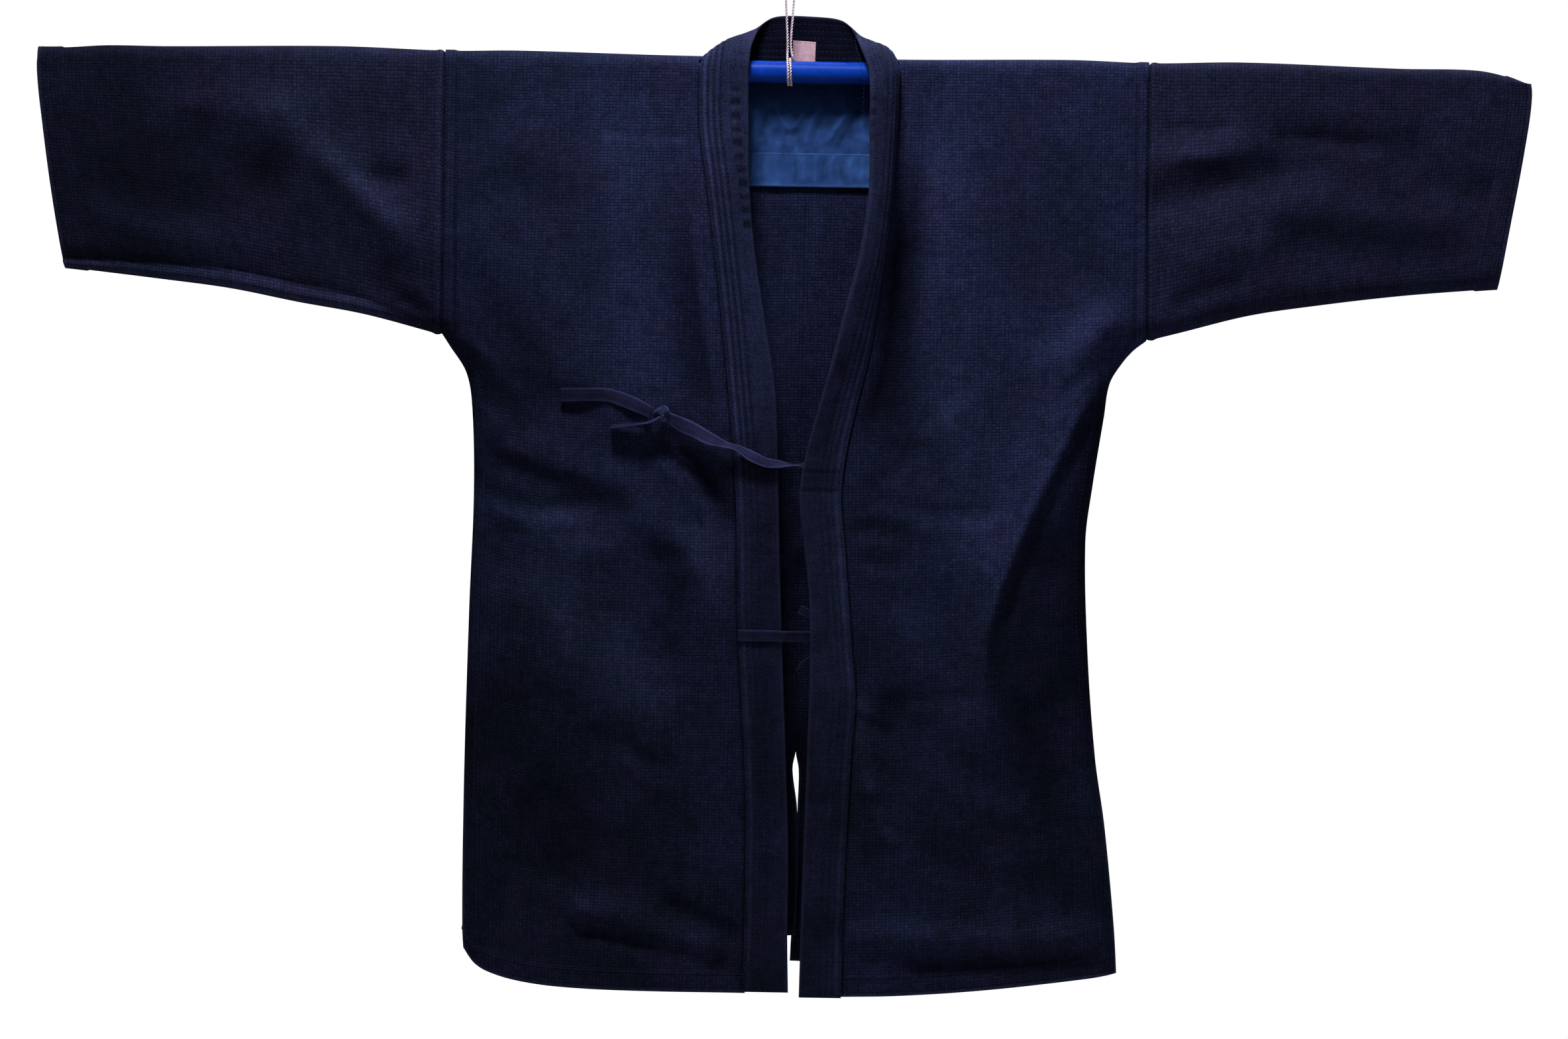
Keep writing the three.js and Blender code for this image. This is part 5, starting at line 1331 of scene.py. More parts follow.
def collar_lengths(count=4000):
    """Distances along the band's middle, for even spacing."""
    at = np.linspace(0, len(COLLAR_SEAM) - 1, count)
    middle = (smooth_through(COLLAR_SEAM, at) + smooth_through(COLLAR_EDGE, at)) / 2
    return at, run_along(middle)


COLLAR_AT, COLLAR_RUN = collar_lengths()
COLLAR_LENGTH = COLLAR_RUN[-1]


def collar_width(run):
    at = np.interp(run, COLLAR_RUN, COLLAR_AT)
    return smooth_through(COLLAR_EDGE, at) - smooth_through(COLLAR_SEAM, at)


def furrows(across, rows):
    """How deep in a sewn furrow each place is, from 0 to 1."""
    return sum(bell((across - row) / QUILT_REACH) for row in rows)


def notches(run, across):
    """Square dents where the neck's sewing pulls the band in, beside its free edge."""
    first, last = NOTCH_RUN
    step = np.abs(np.mod(run, NOTCH_PITCH) - NOTCH_PITCH / 2)
    place = smooth((3.4 - step) / 1.5) * smooth((NOTCH_REACH - np.abs(across - NOTCH_AT)) / 1.5)
    right = (run > first) & (run < last)
    left = (run > COLLAR_LENGTH - last) & (run < COLLAR_LENGTH - first)
    return place * (right | left)


def collar_point(run, share, face, off=0):
    """A point of the band: share runs from its seam to its free edge, face from 1 outside to -1."""
    at = np.interp(run, COLLAR_RUN, COLLAR_AT)
    seam = smooth_through(COLLAR_SEAM, at)
    width = smooth_through(COLLAR_EDGE, at) - seam
    ahead = smooth_through(COLLAR_SEAM, np.minimum(at + 1e-3, len(COLLAR_SEAM) - 1))
    ahead -= smooth_through(COLLAR_SEAM, np.maximum(at - 1e-3, 0))
    out = unit(np.cross(width, ahead))
    bulge = np.interp(at, np.arange(len(COLLAR_BULGE)), COLLAR_BULGE)
    across = share * np.linalg.norm(width, axis=1)
    behind = smooth((NECK_SPAN - np.abs(run - COLLAR_LENGTH / 2)) / NECK_RAMP) * np.clip(face, 0, 1)
    share = share - NECK_REACH * behind * (1 - smooth(share / 0.12))
    sunk = QUILT_DEPTH * furrows(across, QUILT_ROWS) + NOTCH_DEPTH * notches(run, across)
    quilt = np.where(face > 0, -sunk * face, -INNER_DEPTH * furrows(across, INNER_ROWS) * face)
    gathers = COLLAR_GATHER * pucker(run, 41) * bell((across - 11) / 12)
    wave = COLLAR_WAVE * slack(run, across * 2, 26, 43) * smooth(share * 1.3)
    lift = 4 * share * (1 - share) * bulge + face * COLLAR_THICK / 2 + quilt + gathers + wave + off
    return seam + width * share[:, None] + out * lift[:, None]


def collar_section():
    """The band's section: shares across it and which face, from the seam round to the seam again."""
    corner = np.linspace(52, 90, 4)[:-1]
    fold = np.linspace(0, 180, 11)
    seam_round, fold_round = 0.03, 0.055
    outer = stations((seam_round, 1 - fold_round, 0.019))
    inner = stations((1 - fold_round, seam_round, 0.045))
    shares = np.concatenate([
        seam_round * (1 - np.cos(np.radians(corner))), outer[:-1],
        1 - fold_round + fold_round * np.sin(np.radians(fold)),
        inner[1:], seam_round * (1 - np.cos(np.radians(corner[::-1])))])
    faces = np.concatenate([
        np.sin(np.radians(corner)), np.ones(len(outer) - 1), np.cos(np.radians(fold)),
        -np.ones(len(inner) - 1), -np.sin(np.radians(corner[::-1]))])
    return shares, faces


SECTION_SHARE, SECTION_FACE = collar_section()
collar_columns = np.arange(len(SECTION_SHARE), dtype=float)
collar_rows = stations((0, COLLAR_LENGTH, COLLAR_PITCH))
SECTION_STEPS = np.hypot(np.diff(SECTION_SHARE) * COLLAR_WIDE, np.diff(SECTION_FACE) * COLLAR_THICK / 2)
SECTION_GIRTH = np.append(0, np.cumsum(SECTION_STEPS))


def collar_form(ring, run):
    """The collar's points and facts. Its inner face is darker and some stretches are paler or darker. Its
    furrows and notches, and part of one side's free half, carry painted shade, and its ribs painted light.
    """
    ring = ring.astype(int)
    share, face = SECTION_SHARE[ring], SECTION_FACE[ring]
    edge = np.minimum((1 - share) * COLLAR_WIDE, np.minimum(run, COLLAR_LENGTH - run))
    points = collar_point(run, share, face)
    width = np.linalg.norm(collar_width(run), axis=1)
    flattened = np.maximum(smooth(points[:, 0] / 30), smooth((-330 - points[:, 2]) / 60))
    shown = mix(1, LEFT_SHOWN, flattened)
    # The inner face is darker.
    tone = mix(INNER_TONE, 1, smooth(face + 1))
    # Painted shade in the quilted furrows, and painted light on the ribs between them.
    tone *= 1 - FURROW_PAINTED_SHADE * shown * furrows(share * width, QUILT_ROWS)
    tone *= 1 + RIB_PAINTED_LIGHT * shown * furrows(share * width, RIB_ROWS) * (face > 0)
    near_seam = bell((share * width - 4.5) / 3) * (face > 0)
    # Paler beside the seam, and painted shade in the notches.
    tone *= 1 + SEAM_FADE * near_seam - NOTCH_PAINTED_SHADE * notches(run, share * width) * (face > 0)
    upper_left = smooth((points[:, 2] + 350) / 20) * (points[:, 0] > 20) * (points[:, 2] < -20)
    tone *= 1 - HALF_SHADE * upper_left * smooth((share - 0.42) / 0.12)
    # Painted shade in dark bars across the band, as in its furrows.
    for level in COLLAR_BARS:
        bar = bell((points[:, 2] - level) / 1.3) * (points[:, 0] > 8)
        tone *= 1 - FURROW_PAINTED_SHADE * bar * smooth((width * share - 2) / 4)
    # Patches where the band's outer face is paler or darker.
    for x, z, reach, change in COLLAR_PATCHES:
        away = np.hypot((points[:, 0] - x) / reach[0], (points[:, 2] - z) / reach[1])
        tone *= 1 + change * bell(away) * (face > 0)
    return points, (SECTION_GIRTH[ring], run), {"edge": edge, "tone": tone}


collar_mesh = shaped_grid("collar_band", collar_columns, collar_rows, collar_form)
collar_piece = give_wall(
    add_piece("collar_band", collar_mesh, "collar_cloth", COLLAR_FINISH, "collar"), COLLAR_WALL)
print("the collar is", round(COLLAR_LENGTH), "mm long, with", len(collar_mesh.polygons), "faces")

# %% [markdown]
# ## The lining and the label
# A plain blue lining backs the neck inside, with a hem band across its foot. It is thin and a little
# too wide for its place, so it lies in sharp slanting creases, and the band is puckered by its sewing.
# Both lie just in front of the back's inner face. The label is a small bare tab in the collar.

# %% Lining
LINING = {"left": -54, "right": 88, "top": -2, "bottom": -84, "behind": 0.9, "top_shade": 0.6,
          "shade_to": -50}
LINING_BAND = {"left": -54, "right": 88, "top": -71, "bottom": -101, "behind": 2.6, "top_shade": 0,
               "shade_to": -80}
LINING_CREASE_SHADE = 0.5
LINING_CREASES = (
    (2, 1.5, -12, -22, -8, -38, 1, -52), (2.2, 1.4, 20, -22, 12, -38, 2, -52),
    (2.2, -1, 0, -52, -3, -60, -2, -70), (2.4, -1.2, -4, -53, 4, -54, 12, -50),
    (2.6, 1.6, 56, -30, 44, -46, 33, -64), (2.4, -1.2, 62, -34, 50, -52, 42, -70),
    (2.2, 1.2, 28, -28, 20, -46, 14, -66), (2, -1, 34, -30, 26, -48, 20, -68),
    (3, 1.1, -26, -20, -30, -44, -28, -70), (2.2, -1, -19, -34, -22, -52, -18, -70),
    (3, -0.9, -40, -16, -38, -40, -42, -70), (2.4, 1.2, 47, -14, 50, -30, 46, -44),
    (2.8, 1.2, 70, -20, 66, -44, 70, -70), (1.8, 0.9, 5, -56, 8, -64, 7, -74),
    (1.8, 0.9, -10, -60, -8, -66, -9, -74), (1.8, 0.8, 28, -58, 30, -66, 28, -76),
    (3, 0.9, -52, -36, -34, -32, -14, -34), (3, 0.9, 60, -54, 74, -60, 86, -58),
)
BAND_CREASES = (
    (2.4, 0.9, -46, -72, -47, -86, -45, -100), (1.8, 0.9, -31, -72, -30, -84, -33, -98),
    (2, -0.7, -22, -74, -23, -88, -21, -100), (2.2, 0.8, -8, -72, -10, -84, -9, -94),
    (1.6, -1, 7, -72, 8, -86, 7, -100), (2, 0.8, 12, -74, 15, -84, 13, -98),
    (1.8, 1, 27, -72, 24, -84, 26, -100), (1.6, -0.8, 34, -72, 31, -86, 32, -100),
    (2, 1.1, 42, -72, 38, -82, 40, -98), (1.6, -0.8, 50, -76, 48, -88, 52, -100),
    (1.8, 1, 57, -72, 55, -84, 58, -98), (1.6, 0.9, 66, -72, 67, -86, 65, -100),
    (2, -0.8, 74, -74, 76, -86, 73, -98), (2, 0.8, 82, -72, 81, -86, 83, -100),
)


def lining_form(sheet, creases, swell):
    """How a lining sheet lies in front of the back's inner face."""
    def lay(x, z):
        points = on_face("back", x, z, -SOLID_CLOTH - sheet["behind"])
        rise = crease_height(creases, x, z) / CREASE_FULLNESS + swell * slack(x, z, 9, 51)
        rise += 0.4 * swell * slack(x, z, 4, 53)
        above_foot = z - sheet["bottom"]
        rise += 0.5 * bell(above_foot / 2.2)
        points[:, 1] -= np.maximum(rise, -0.5) + 0.6
        shade = 1 - sheet["top_shade"] * smooth((z - sheet["shade_to"]) / (sheet["top"] - sheet["shade_to"]))
        # Painted light and shade: the creases' rise lightens ridges and darkens hollows, and the top is
        # darker as painted shade below the rod.
        return points, (x, z), {"tone": np.clip((1 + LINING_CREASE_SHADE * rise) * shade, 0.25, 1.8)}
    return lay


LINING_PITCH = 1.15
LINING_SWELL = 0.5
BAND_SWELL = 0.35
LINING_LIFT = 0.15
LINING_WALL = 0.7
for name, sheet, creases, swell, finish, node in (
    ("lining_sheet", LINING, LINING_CREASES, LINING_SWELL, LINING_FINISH, "neck_lining"),
    ("lining_band", LINING_BAND, BAND_CREASES, BAND_SWELL, BAND_FINISH, "neck_lining_band"),
):
    lining_mesh = shaped_grid(
        name, stations((sheet["left"], sheet["right"], LINING_PITCH)),
        stations((sheet["bottom"], sheet["top"], LINING_PITCH)),
        lining_form(sheet, creases, swell), hint=lambda middle: (0, -1, 0))
    give_wall(add_piece(name, lining_mesh, "lining", finish, node), LINING_WALL)

# %% Label
LABEL = {"x": 13, "wide": 20, "top": 28, "bottom": 7, "back": 11.6, "lean": 0.09}


def label_form(x, z):
    """The tab leans back with the collar and curls a little at its free corners."""
    across = (x - LABEL["x"]) / LABEL["wide"] * 2
    up = (z - LABEL["bottom"]) / (LABEL["top"] - LABEL["bottom"])
    y = LABEL["back"] + LABEL["lean"] * (z - LABEL["bottom"]) - 0.4
    y = y - 0.9 * across**2 * (1 - up) - 0.35 * np.sin(3 * across + 2 * up)
    return np.column_stack([x + 0.4 * up, y, z - 0.5 * across * up]), (x, z), {}


label_mesh = shaped_grid(
    "label_tab",
    stations((LABEL["x"] - LABEL["wide"] / 2, LABEL["x"] + LABEL["wide"] / 2, 0.6)),
    stations((LABEL["bottom"], LABEL["top"], 0.6)),
    label_form, hint=lambda middle: (0, -1, 0))
label_piece = give_wall(add_piece("label_tab", label_mesh, "label", LABEL_FINISH, "neck_label"), 0.45)

# %% [markdown]
# ## The ties
# Each tie is flat tape. A table gives its two edges and how far each stands off the front, so that it
# can lie flat where it is sewn, lift, twist on edge and hang slack. The knots are real overhand
# knots: the tape, crushed to half its width, runs round a trefoil.

# %% Tape and knots
TAPE_HALF = 0.8
TAPE_PITCH = 1.1
SELVEDGE_RUB = 1.6


def tape_rows(*rows):
    return table("x1 z1 off1 x2 z2 off2", *rows)


CHEST_TIE_RIGHT = tape_rows(
    (-196, -295, 1.4, -196, -283, 1.4), (-175, -294.5, 1.4, -175, -282.5, 1.4),
    (-155, -294.5, 1.4, -155, -282.5, 1.4), (-146, -297, 2.6, -146, -284.5, 2.6),
    (-132, -302.5, 4.5, -130, -290, 4.5), (-116.5, -308.5, 7, -115, -298, 7))
CHEST_TIE_TAIL = tape_rows(
    (-108, -308, 13, -107, -303.5, 7), (-118, -312.5, 15, -117, -310.7, 4.5),
    (-130, -315, 15.5, -130, -313, 4), (-142, -316.4, 14.5, -142, -314, 3),
    (-152, -318, 12.5, -151, -315, 2))
CHEST_TIE_LEFT = tape_rows(
    (-100, -313, 9, -107, -300, 9), (-90, -320, 9.5, -92, -305.5, 9), (-80, -324, 10, -79, -310.5, 8),
    (-66, -330.5, 12, -59, -322, 8), (-52, -333, 13.5, -46, -329, 7.5), (-42, -335, 13.5, -36, -331.5, 7),
    (-30, -343.5, 12, -26, -335.5, 6.5), (-15, -349.5, 10.5, -13, -341.5, 6.5),
    (-3, -350, 8.5, -2, -343.5, 4), (6, -348.4, 6, 7, -346, -2), (14, -348, 3, 15, -346.6, -5),
    (26, -353.5, -4.5, 26, -342.5, -4.8), (44, -354.5, -5.2, 44, -342, -5.2),
    (62, -354, -4.6, 62, -341.5, -4.6), (84, -354, -3.5, 84, -341.5, -3.5))
INNER_TIE_RIGHT = tape_rows(
    (-36, -503, 3.9, -36, -493, 3.9), (-21, -503, 4.9, -21, -493, 4.9), (-6, -503, 5.3, -6, -493, 5.3),
    (4, -503, 5.2, 4, -493.5, 5.2), (10, -503, 2, 10, -493.5, 2), (16, -502.6, -2.5, 16, -493.5, -2.5),
    (28, -502.4, -6.5, 28, -493.6, -6.5), (38, -502, -7.5, 38, -494, -7.5))
INNER_TAIL_RIGHT = tape_rows(
    (38, -502, -7.5, 44, -496, -7.5), (34, -511, -8, 41, -505, -8), (27, -520, -8, 33, -512, -8),
    (15, -530, -7.5, 20, -520.5, -7.5))
INNER_TIE_LEFT = tape_rows(
    (55, -500, -7.6, 55, -491.5, -7.6), (66, -502, -5, 66, -492.5, -5), (84, -503, -3.5, 84, -493, -3.5),
    (104, -503, -3.5, 104, -493, -3.5))
INNER_TAIL_LEFT = tape_rows(
    (54, -494, -7.8, 51, -486, -7.8), (43, -488.5, -8, 42, -481, -8), (31, -484, -8, 32, -476.5, -8),
    (16, -477.5, -7.5, 20, -470.5, -7.5))
KNOTS = {
    "chest": {"x": -106, "z": -304.5, "off": 8.5, "wide": 8, "deep": 5.5, "tall": 7.5, "lean": 35},
    "inner_right": {"x": 40.5, "z": -498.5, "off": -8, "wide": 6, "deep": 2.6, "tall": 6.5, "lean": -20},
    "inner_left": {"x": 53, "z": -494, "off": -7.8, "wide": 5.5, "deep": 2.6, "tall": 6, "lean": 15},
}


def off_front(x, z, off):
    """Points off the front's broad form, which is what the stiff tapes were laid against."""
    return np.column_stack([x, -plain_out("front", x, z) - off, z])


def tape_mesh(name, rows, tones):
    """A flat tape through its rows, with rounded pale selvedges."""
    lower = off_front(rows["x1"], rows["z1"], rows["off1"])
    upper = off_front(rows["x2"], rows["z2"], rows["off2"])
    reach = np.linalg.norm(np.diff((lower + upper) / 2, axis=0), axis=1).sum()
    at = np.linspace(0, len(lower) - 1, int(reach / TAPE_PITCH) + 2)
    low, high = smooth_through(lower, at), smooth_through(upper, at)
    middles, wide = (low + high) / 2, (high - low) / 2
    along = np.gradient(middles, axis=0)
    thick = unit(np.cross(along, wide))
    ripple = 0.16 * slack(np.arange(len(at)) * TAPE_PITCH, at * 0, 7, 61)
    tone = np.interp(at, np.linspace(0, len(lower) - 1, len(tones)), tones)
    return swept(name, middles + thick * ripple[:, None], wide, thick * TAPE_HALF, sides=28, power=0.42,
                 rubbed=SELVEDGE_RUB, tone=tone)


def knot_mesh(name, x, z, off, wide, deep, tall, lean):
    """An overhand knot: tape crushed to half its width, run round a trefoil."""
    turn = np.linspace(0, 2 * math.pi, 97)[:-1]
    flat_x = (np.sin(turn) + 2 * np.sin(2 * turn)) / 3
    flat_z = (np.cos(turn) - 2 * np.cos(2 * turn)) / 3
    a = math.radians(lean)
    path = np.column_stack([
        (flat_x * math.cos(a) - flat_z * math.sin(a)) * wide * 0.62,
        -np.sin(3 * turn) * deep * 0.42,
        (flat_x * math.sin(a) + flat_z * math.cos(a)) * tall * 0.62])
    middle = off_front(np.array([x]), np.array([z]), np.array([off]))[0]
    along = unit(np.roll(path, -1, axis=0) - np.roll(path, 1, axis=0))
    side = unit(np.cross(along, unit(path * (1, 0, 1))))
    up = np.cross(side, along)
    half_wide, half_thick = wide * 0.40, deep * 0.30
    closed_path = np.vstack([path, path[:1]]) + middle
    closed_side, closed_up = np.vstack([side, side[:1]]), np.vstack([up, up[:1]])
    return swept(name, closed_path, closed_up * half_wide, closed_side * half_thick, sides=16, power=0.7,
                 rubbed=SELVEDGE_RUB)


def join_meshes(name, meshes):
    """One mesh from several, with their materials left to be given."""
    bm = bmesh.new()
    for mesh in meshes:
        bm.from_mesh(mesh)
    joined = bpy.data.meshes.new(name)
    bm.to_mesh(joined)
    bm.free()
    joined.shade_smooth()
    return joined


# Each tape's tone runs along it, as listed; the chest tie's tail darkens towards its end as painted shade.
TIES = {
    "chest_tie_right": (((CHEST_TIE_RIGHT, (0.42, 0.5, 0.7, 0.8)),), ()),
    "chest_tie_left": (
        ((CHEST_TIE_LEFT, (1, 1, 1.1, 1, 0.9, 0.8)), (CHEST_TIE_TAIL, (0.8, 0.5))), ("chest",)),
    "inner_tie_right": (
        ((INNER_TIE_RIGHT, (0.5, 0.45, 0.6)), (INNER_TAIL_RIGHT, (0.6, 0.5))), ("inner_right",)),
    "inner_tie_left": (
        ((INNER_TIE_LEFT, (0.6, 0.6)), (INNER_TAIL_LEFT, (0.6, 0.5))), ("inner_left",)),
}
for node, (tapes, knots) in TIES.items():
    parts = [tape_mesh(f"{node}_part", rows, tones) for rows, tones in tapes]
    parts += [knot_mesh(f"{node}_knot", **KNOTS[knot]) for knot in knots]
    tie_mesh = join_meshes(f"{node}_tape", parts)
    add_piece(f"{node}_tape", tie_mesh, "tie_cloth", TAPE_FINISH, node)

# %% [markdown]
# ## The rod and its string
# The rod is a metal tube in a blue plastic skin, with a cap on each end. Its outline is drawn once and
# spun round the rod's line. The string goes twice round it and up to a hook: two plies twisted round
# each other, each a thin tube on a helix about the string's own path.

# %% Rod
ROD_FROM, ROD_TO = -590, 602
ROD_PROFILE = [
    (0, 0), (0, 7.6), (0.5, 9.2), (1.6, 10), (13, 10), (13.6, 9.75), (13.8, 9.6), (14.4, 9.6)]
ROD_TURN_STEPS = 64

rod_bm = bmesh.new()
outline = [(ROD_FROM + x, r) for x, r in ROD_PROFILE] + [(ROD_TO - x, r) for x, r in reversed(ROD_PROFILE)]
rod_middle = stations((ROD_FROM + 24, ROD_TO - 24, 24))
outline = outline[:len(ROD_PROFILE)] + [(x, 9.6) for x in rod_middle] + outline[len(ROD_PROFILE):]
rod_points = [rod_bm.verts.new(to_frame((x, 0, r))) for x, r in outline]
rod_edges = [rod_bm.edges.new(pair) for pair in zip(rod_points[:-1], rod_points[1:])]
bmesh.ops.spin(rod_bm, geom=rod_points + rod_edges, cent=to_frame((0, 0, 0)), axis=(1, 0, 0),
               angle=2 * math.pi, steps=ROD_TURN_STEPS, use_merge=True)
bmesh.ops.remove_doubles(rod_bm, verts=rod_bm.verts, dist=1e-6)
bmesh.ops.recalc_face_normals(rod_bm, faces=rod_bm.faces)
rod_mesh = bpy.data.meshes.new("blue_rod")
rod_bm.to_mesh(rod_mesh)
rod_bm.free()
rod_mesh.shade_smooth()
add_piece("blue_rod", rod_mesh, "rod", ROD_FINISH, "rod")
print("the rod has", len(rod_mesh.polygons), "faces")

# %% String
STRING_RADIUS = 1.15
PLY_RADIUS = 0.62
PLY_STEP = 0.62
PLY_PITCH = 5.2
STRING_TURNS = 2
STRING_FROM, STRING_TO = -1.6, 3.4
STRING_REACH = ROD_RADIUS + STRING_RADIUS + 0.35
STRING_LOOP = [(0.2, 0, 81.2), (-2.3, 0, 79.4), (-3.6, 0, 73), (-2.9, 0, 50), (-1.9, 0.2, 30),
               (-1.6, 0.4, 18)]
STRING_RISE = [(3.2, 0.6, 12.4), (1.6, 0.4, 20), (1.3, 0.2, 30), (2.6, 0, 50), (3.6, 0, 72), (3, 0, 78)]
TURN_STEPS = 12


def string_path():
    """Down from the hook, twice round the rod and up again."""
    i = np.arange(STRING_TURNS * TURN_STEPS + 1)
    angle = math.pi / 2 + i / TURN_STEPS * 2 * math.pi
    x = mix(STRING_FROM, STRING_TO, i / (STRING_TURNS * TURN_STEPS))
    winding = np.column_stack([x, STRING_REACH * np.cos(angle), STRING_REACH * np.sin(angle)])
    points = np.vstack([STRING_LOOP, winding[2:-1], STRING_RISE])
    fine = smooth_through(points, np.linspace(0, len(points) - 1, 900))
    run = run_along(fine)
    even = np.linspace(0, run[-1], int(run[-1] / PLY_STEP))
    return at_run(even, run, fine), even


def carried_frame(path):
    """Two directions square to a path that turn as little as they can along it."""
    along = unit(np.gradient(path, axis=0))
    first = np.zeros_like(path)
    first[0] = np.cross(along[0], (0, 1, 0))
    for k in range(1, len(path)):
        first[k] = first[k - 1] - along[k] * np.dot(first[k - 1], along[k])
        first[k] /= np.linalg.norm(first[k])
    return first, np.cross(along, first)


string_middle, string_run = string_path()
string_first, string_second = carried_frame(string_middle)
plies = []
for start in (0, math.pi):
    turn = (string_run / PLY_PITCH * 2 * math.pi + start)[:, None]
    lean = string_first * np.cos(turn) + string_second * np.sin(turn)
    cross = -string_first * np.sin(turn) + string_second * np.cos(turn)
    ply_path = string_middle + lean * (STRING_RADIUS - PLY_RADIUS)
    plies.append(swept("string_ply", ply_path, lean * PLY_RADIUS, cross * PLY_RADIUS, sides=10))
add_piece("twisted_string", join_meshes("twisted_string", plies), "string", STRING_FINISH, "hanging_string")
print("the string is", round(string_run[-1]), "mm long from end to end")

# %% [markdown]
# ## Sewing
# Every seam shows its stitches, so they are made, not painted. One stitch is a small spindle with few
# faces. Along each sewn row it is repeated with numpy arrays, lying on the cloth, and one joined mesh
# holds all the rows of a piece.

# %% Stitches
STITCH_LENGTH = 2.5
STITCH_PITCH = 3.9
STITCH_HALF = 0.27


def one_stitch():
    """The shape of a stitch, one long and one across, from a low sphere."""
    bm = bmesh.new()
    bmesh.ops.create_uvsphere(bm, u_segments=6, v_segments=4, radius=1)
    points = np.array([vert.co[:] for vert in bm.verts])
    faces = [[vert.index for vert in face.verts] for face in bm.faces]
    bm.free()
    return points, faces


STITCH_POINTS, STITCH_FACES = one_stitch()


def sewn_rows(name, rows, finish, slot, pitch=STITCH_PITCH, long=STITCH_LENGTH, half=STITCH_HALF, seed=71):
    """Stitches along rows of points. Each row is its points and the directions out of the cloth."""
    chance = np.random.default_rng(seed)
    middles, alongs, outs = [], [], []
    for points, out in rows:
        run = run_along(points)
        count = max(1, int(run[-1] / pitch))
        at = (np.arange(count) + 0.5) * run[-1] / count + chance.uniform(-0.25, 0.25, count)
        middles.append(at_run(at, run, points))
        alongs.append(unit(at_run(at + 0.6, run, points) - at_run(at - 0.6, run, points)))
        outs.append(unit(at_run(at, run, out)))
    middle, along, up = (np.vstack(part) for part in (middles, alongs, outs))
    side = unit(np.cross(along, up))
    stretch = chance.uniform(0.82, 1.1, len(middle))[:, None, None]
    local = STITCH_POINTS[None] * (half, half, long / 2)
    points = (middle[:, None] + local[..., 2:3] * along[:, None] * stretch
              + local[..., 0:1] * side[:, None] + local[..., 1:2] * up[:, None]).reshape(-1, 3)
    step = len(STITCH_POINTS)
    faces = [[corner + step * k for corner in face] for k in range(len(middle)) for face in STITCH_FACES]
    mesh = bpy.data.meshes.new(name)
    mesh.from_pydata(to_frame(points), [], faces)
    flat = mesh.uv_layers.new(name="cloth")
    corner = np.zeros(len(mesh.loops), int)
    mesh.loops.foreach_get("vertex_index", corner)
    flat.data.foreach_set("uv", (points[:, (0, 2)] * MM)[corner].ravel())
    mesh.shade_smooth()
    print(name, "has", len(middle), "stitches")
    return add_piece(name, mesh, slot, finish)


def outs_of(points, face):
    """Directions out of the front or the back."""
    sign = -1 if face == "front" else 1
    return np.tile((0.0, sign, 0.0), (len(points), 1))


def body_row(side, face, across, share):
    """A row laid on a body panel, given by places across it and down it."""
    x, z, off, _ = body_facts(side, face, across, share)
    points = on_face(face, x, z, off + STITCH_LIFT)
    return points, outs_of(points, face)


def share_across(side, face, share, distance):
    """The place across a panel that lies so far inside its side edge."""
    tries = np.linspace(0.5, 1, 800)
    result = np.empty(len(share))
    for k, one in enumerate(share):
        x, z, _, _ = body_facts(side, face, tries, np.full(len(tries), one))
        result[k] = np.interp(-distance, -np.abs(side_edge(side, z) - x), tries)
    return result


def body_sewing(side):
    rows = []
    for face in FACES:
        depth = -HEM[face][side]["z"][0]
        across = np.linspace(0.006, 0.985, 160)
        for up in (3.2, 14.5, 16.6):
            rows.append(body_row(side, face, across, np.full(160, 1 - up / depth)))
        side_depth = -HEM[face][side]["z"][-1]
        below = np.linspace(-UNDERARM[side] + 14, -SIDE_VENT_TOP, 120) / side_depth
        rows.append(body_row(side, face, share_across(side, face, below, 9), below))
        vent = np.linspace(-SIDE_VENT_TOP, side_depth - 4, 50) / side_depth
        rows.append(body_row(side, face, share_across(side, face, vent, 4), vent))
        rows.append(body_row(side, face, share_across(side, face, vent, 13), vent))
        arm = np.linspace(2, -UNDERARM[side] - 4, 80) / side_depth
        for distance in (1.6, 8.6):
            rows.append(body_row(side, face, share_across(side, face, arm, distance), arm))
    depth = -HEM["back"][side]["z"][0]
    centre = np.linspace(40, -BACK_VENT_TOP - 6, 140) / depth
    rows.append(body_row(side, "back", np.full(140, 0.012), centre))
    vent = np.linspace(-BACK_VENT_TOP + 8, depth - 4, 50) / depth
    for across in (0.012, 0.05):
        rows.append(body_row(side, "back", np.full(50, across), vent))
    return rows


def sleeve_sewing(side):
    rows = []
    around = np.linspace(0.01, 0.99, 300)
    length = abs(CUFF[side]["x"][1] - ARMHOLE[side]["x"][1])
    for from_cuff in (4, 19.5):
        points = sleeve_form(side, np.full(300, 1 - from_cuff / length), around)[0]
        out = unit(points * (0, 1, 1) + (0, 0, 90))
        sign = np.where(points[:, 2] > 0, 1.0, 0.0)[:, None]
        flat = np.column_stack([out[:, 0] * 0, np.sign(points[:, 1]), out[:, 0] * 0])
        out = flat * (1 - sign) + out * sign
        rows.append((points + out * 0.12, out))
    share = np.linspace(0.01, 0.99, 120)
    for climb in (0.035, 0.965):
        points = sleeve_form(side, share, np.full(120, climb))[0]
        face = "front" if climb < 0.5 else "back"
        out = outs_of(points, face)
        rows.append((points + out * 0.12, out))
    return rows


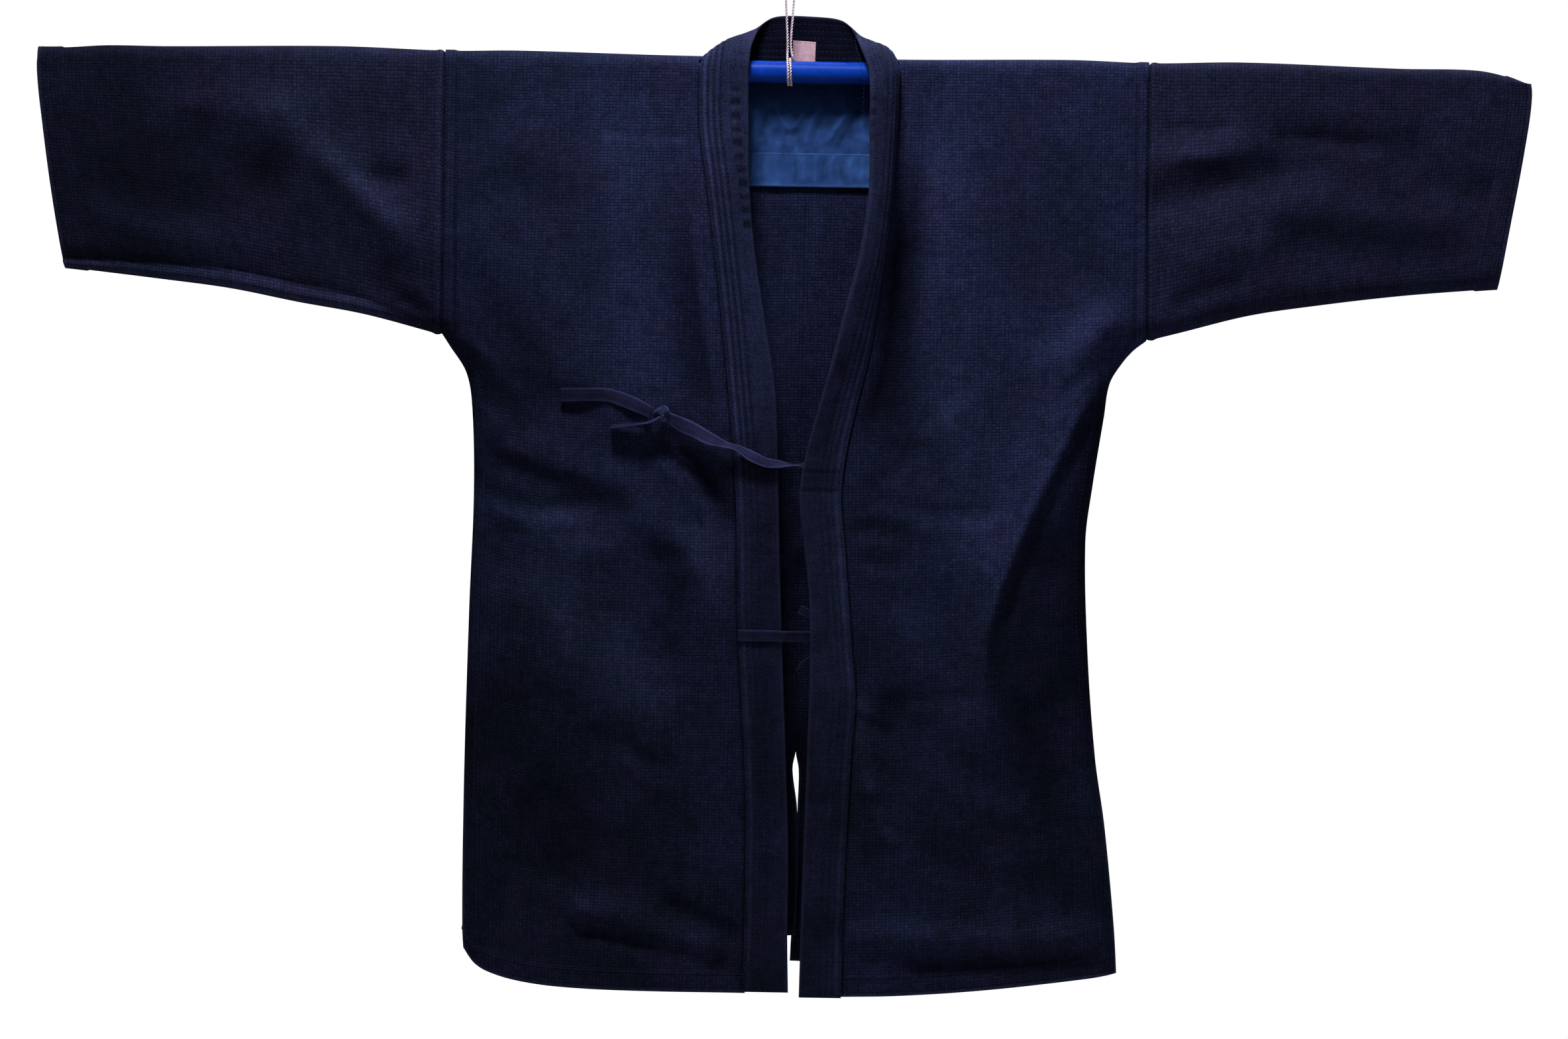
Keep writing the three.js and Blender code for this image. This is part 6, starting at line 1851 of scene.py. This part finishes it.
def collar_sewing():
    run = np.linspace(4, COLLAR_LENGTH - 4, 1200)
    rows = []
    widths = np.linalg.norm(collar_width(run), axis=1)
    for row in QUILT_ROWS:
        points = collar_point(run, row / widths, np.ones(1200), 0.08)
        out = collar_point(run, row / widths, np.ones(1200), 1.08) - points
        rows.append((points, out))
    inner = (run > 780) & (run < 1060)
    for row in INNER_ROWS:
        points = collar_point(run[inner], row / widths[inner], -np.ones(inner.sum()), -0.08)
        out = collar_point(run[inner], row / widths[inner], -np.ones(inner.sum()), -1.08) - points
        rows.append((points, out))
    return rows


for side in SIDES:
    sewn_rows(
        f"body_{side}_sewing", body_sewing(side), THREAD_FINISH, "sashiko_cloth")
    sewn_rows(
        f"sleeve_{side}_sewing", sleeve_sewing(side), THREAD_FINISH, "sashiko_cloth")
sewn_rows("collar_sewing", collar_sewing(), THREAD_FINISH, "collar_cloth")

# %% [markdown]
# Two of the tapes are sewn down with small boxes of stitches at one end, the lining's band has a row
# along its top and a pale one along its foot, and the label is held by a row along its upper edge.

# %% Sewing of the small pieces
def box_row(rows, first, last, inset):
    """A box of sewing round one end of a tape that lies flat, between two of its places."""
    corner_x = (first, last, last, first, first)
    low, high = rows["z1"][0] + inset, rows["z2"][0] - inset
    corner_z = (low, low, high, high, low)
    at = np.linspace(0, 4, 90)
    x, z = np.interp(at, range(5), corner_x), np.interp(at, range(5), corner_z)
    off = rows["off1"][0] + TAPE_HALF + 0.06
    points = off_front(x, z, np.full(90, off))
    return points, outs_of(points, "front")


tie_rows = [
    box_row(CHEST_TIE_RIGHT, -194.4, -157, 1.6),
    box_row(CHEST_TIE_RIGHT, -194.4, -157, 4.4),
]
sewn_rows("chest_tie_sewing", tie_rows, THREAD_FINISH, "tie_cloth", pitch=2.8,
                                      long=1.9, half=0.2)
inner_rows = [box_row(INNER_TIE_RIGHT, -34.6, -7, 1.4)]
sewn_rows("inner_tie_sewing", inner_rows, THREAD_FINISH, "tie_cloth", pitch=2.8,
                                      long=1.9, half=0.2)


def lining_row(z):
    """A row sewn along the lining's hem band."""
    x = np.linspace(LINING_BAND["left"] + 1, LINING_BAND["right"] - 1, 200)
    points = lining_form(LINING_BAND, BAND_CREASES, BAND_SWELL)(x, np.full(200, float(z)))[0]
    points[:, 1] -= LINING_LIFT
    return points, outs_of(points, "front")


lining_sewing = [lining_row(LINING_BAND["top"] - 1.4), lining_row(LINING_BAND["bottom"] + 1.3)]
sewn_rows("lining_sewing", lining_sewing, PALE_THREAD_FINISH, "lining", pitch=2.6,
                             long=1.8, half=0.22)
label_x = np.linspace(LABEL["x"] - 9, LABEL["x"] + 9, 40)
label_points = label_form(label_x, np.full(40, LABEL["top"] - 1.2))[0] - (0, STITCH_LIFT, 0)
label_row = (label_points, outs_of(label_points, "front"))
sewn_rows("label_sewing", [label_row], LABEL_FINISH, "label", pitch=2.2, long=1.5,
                            half=0.16)
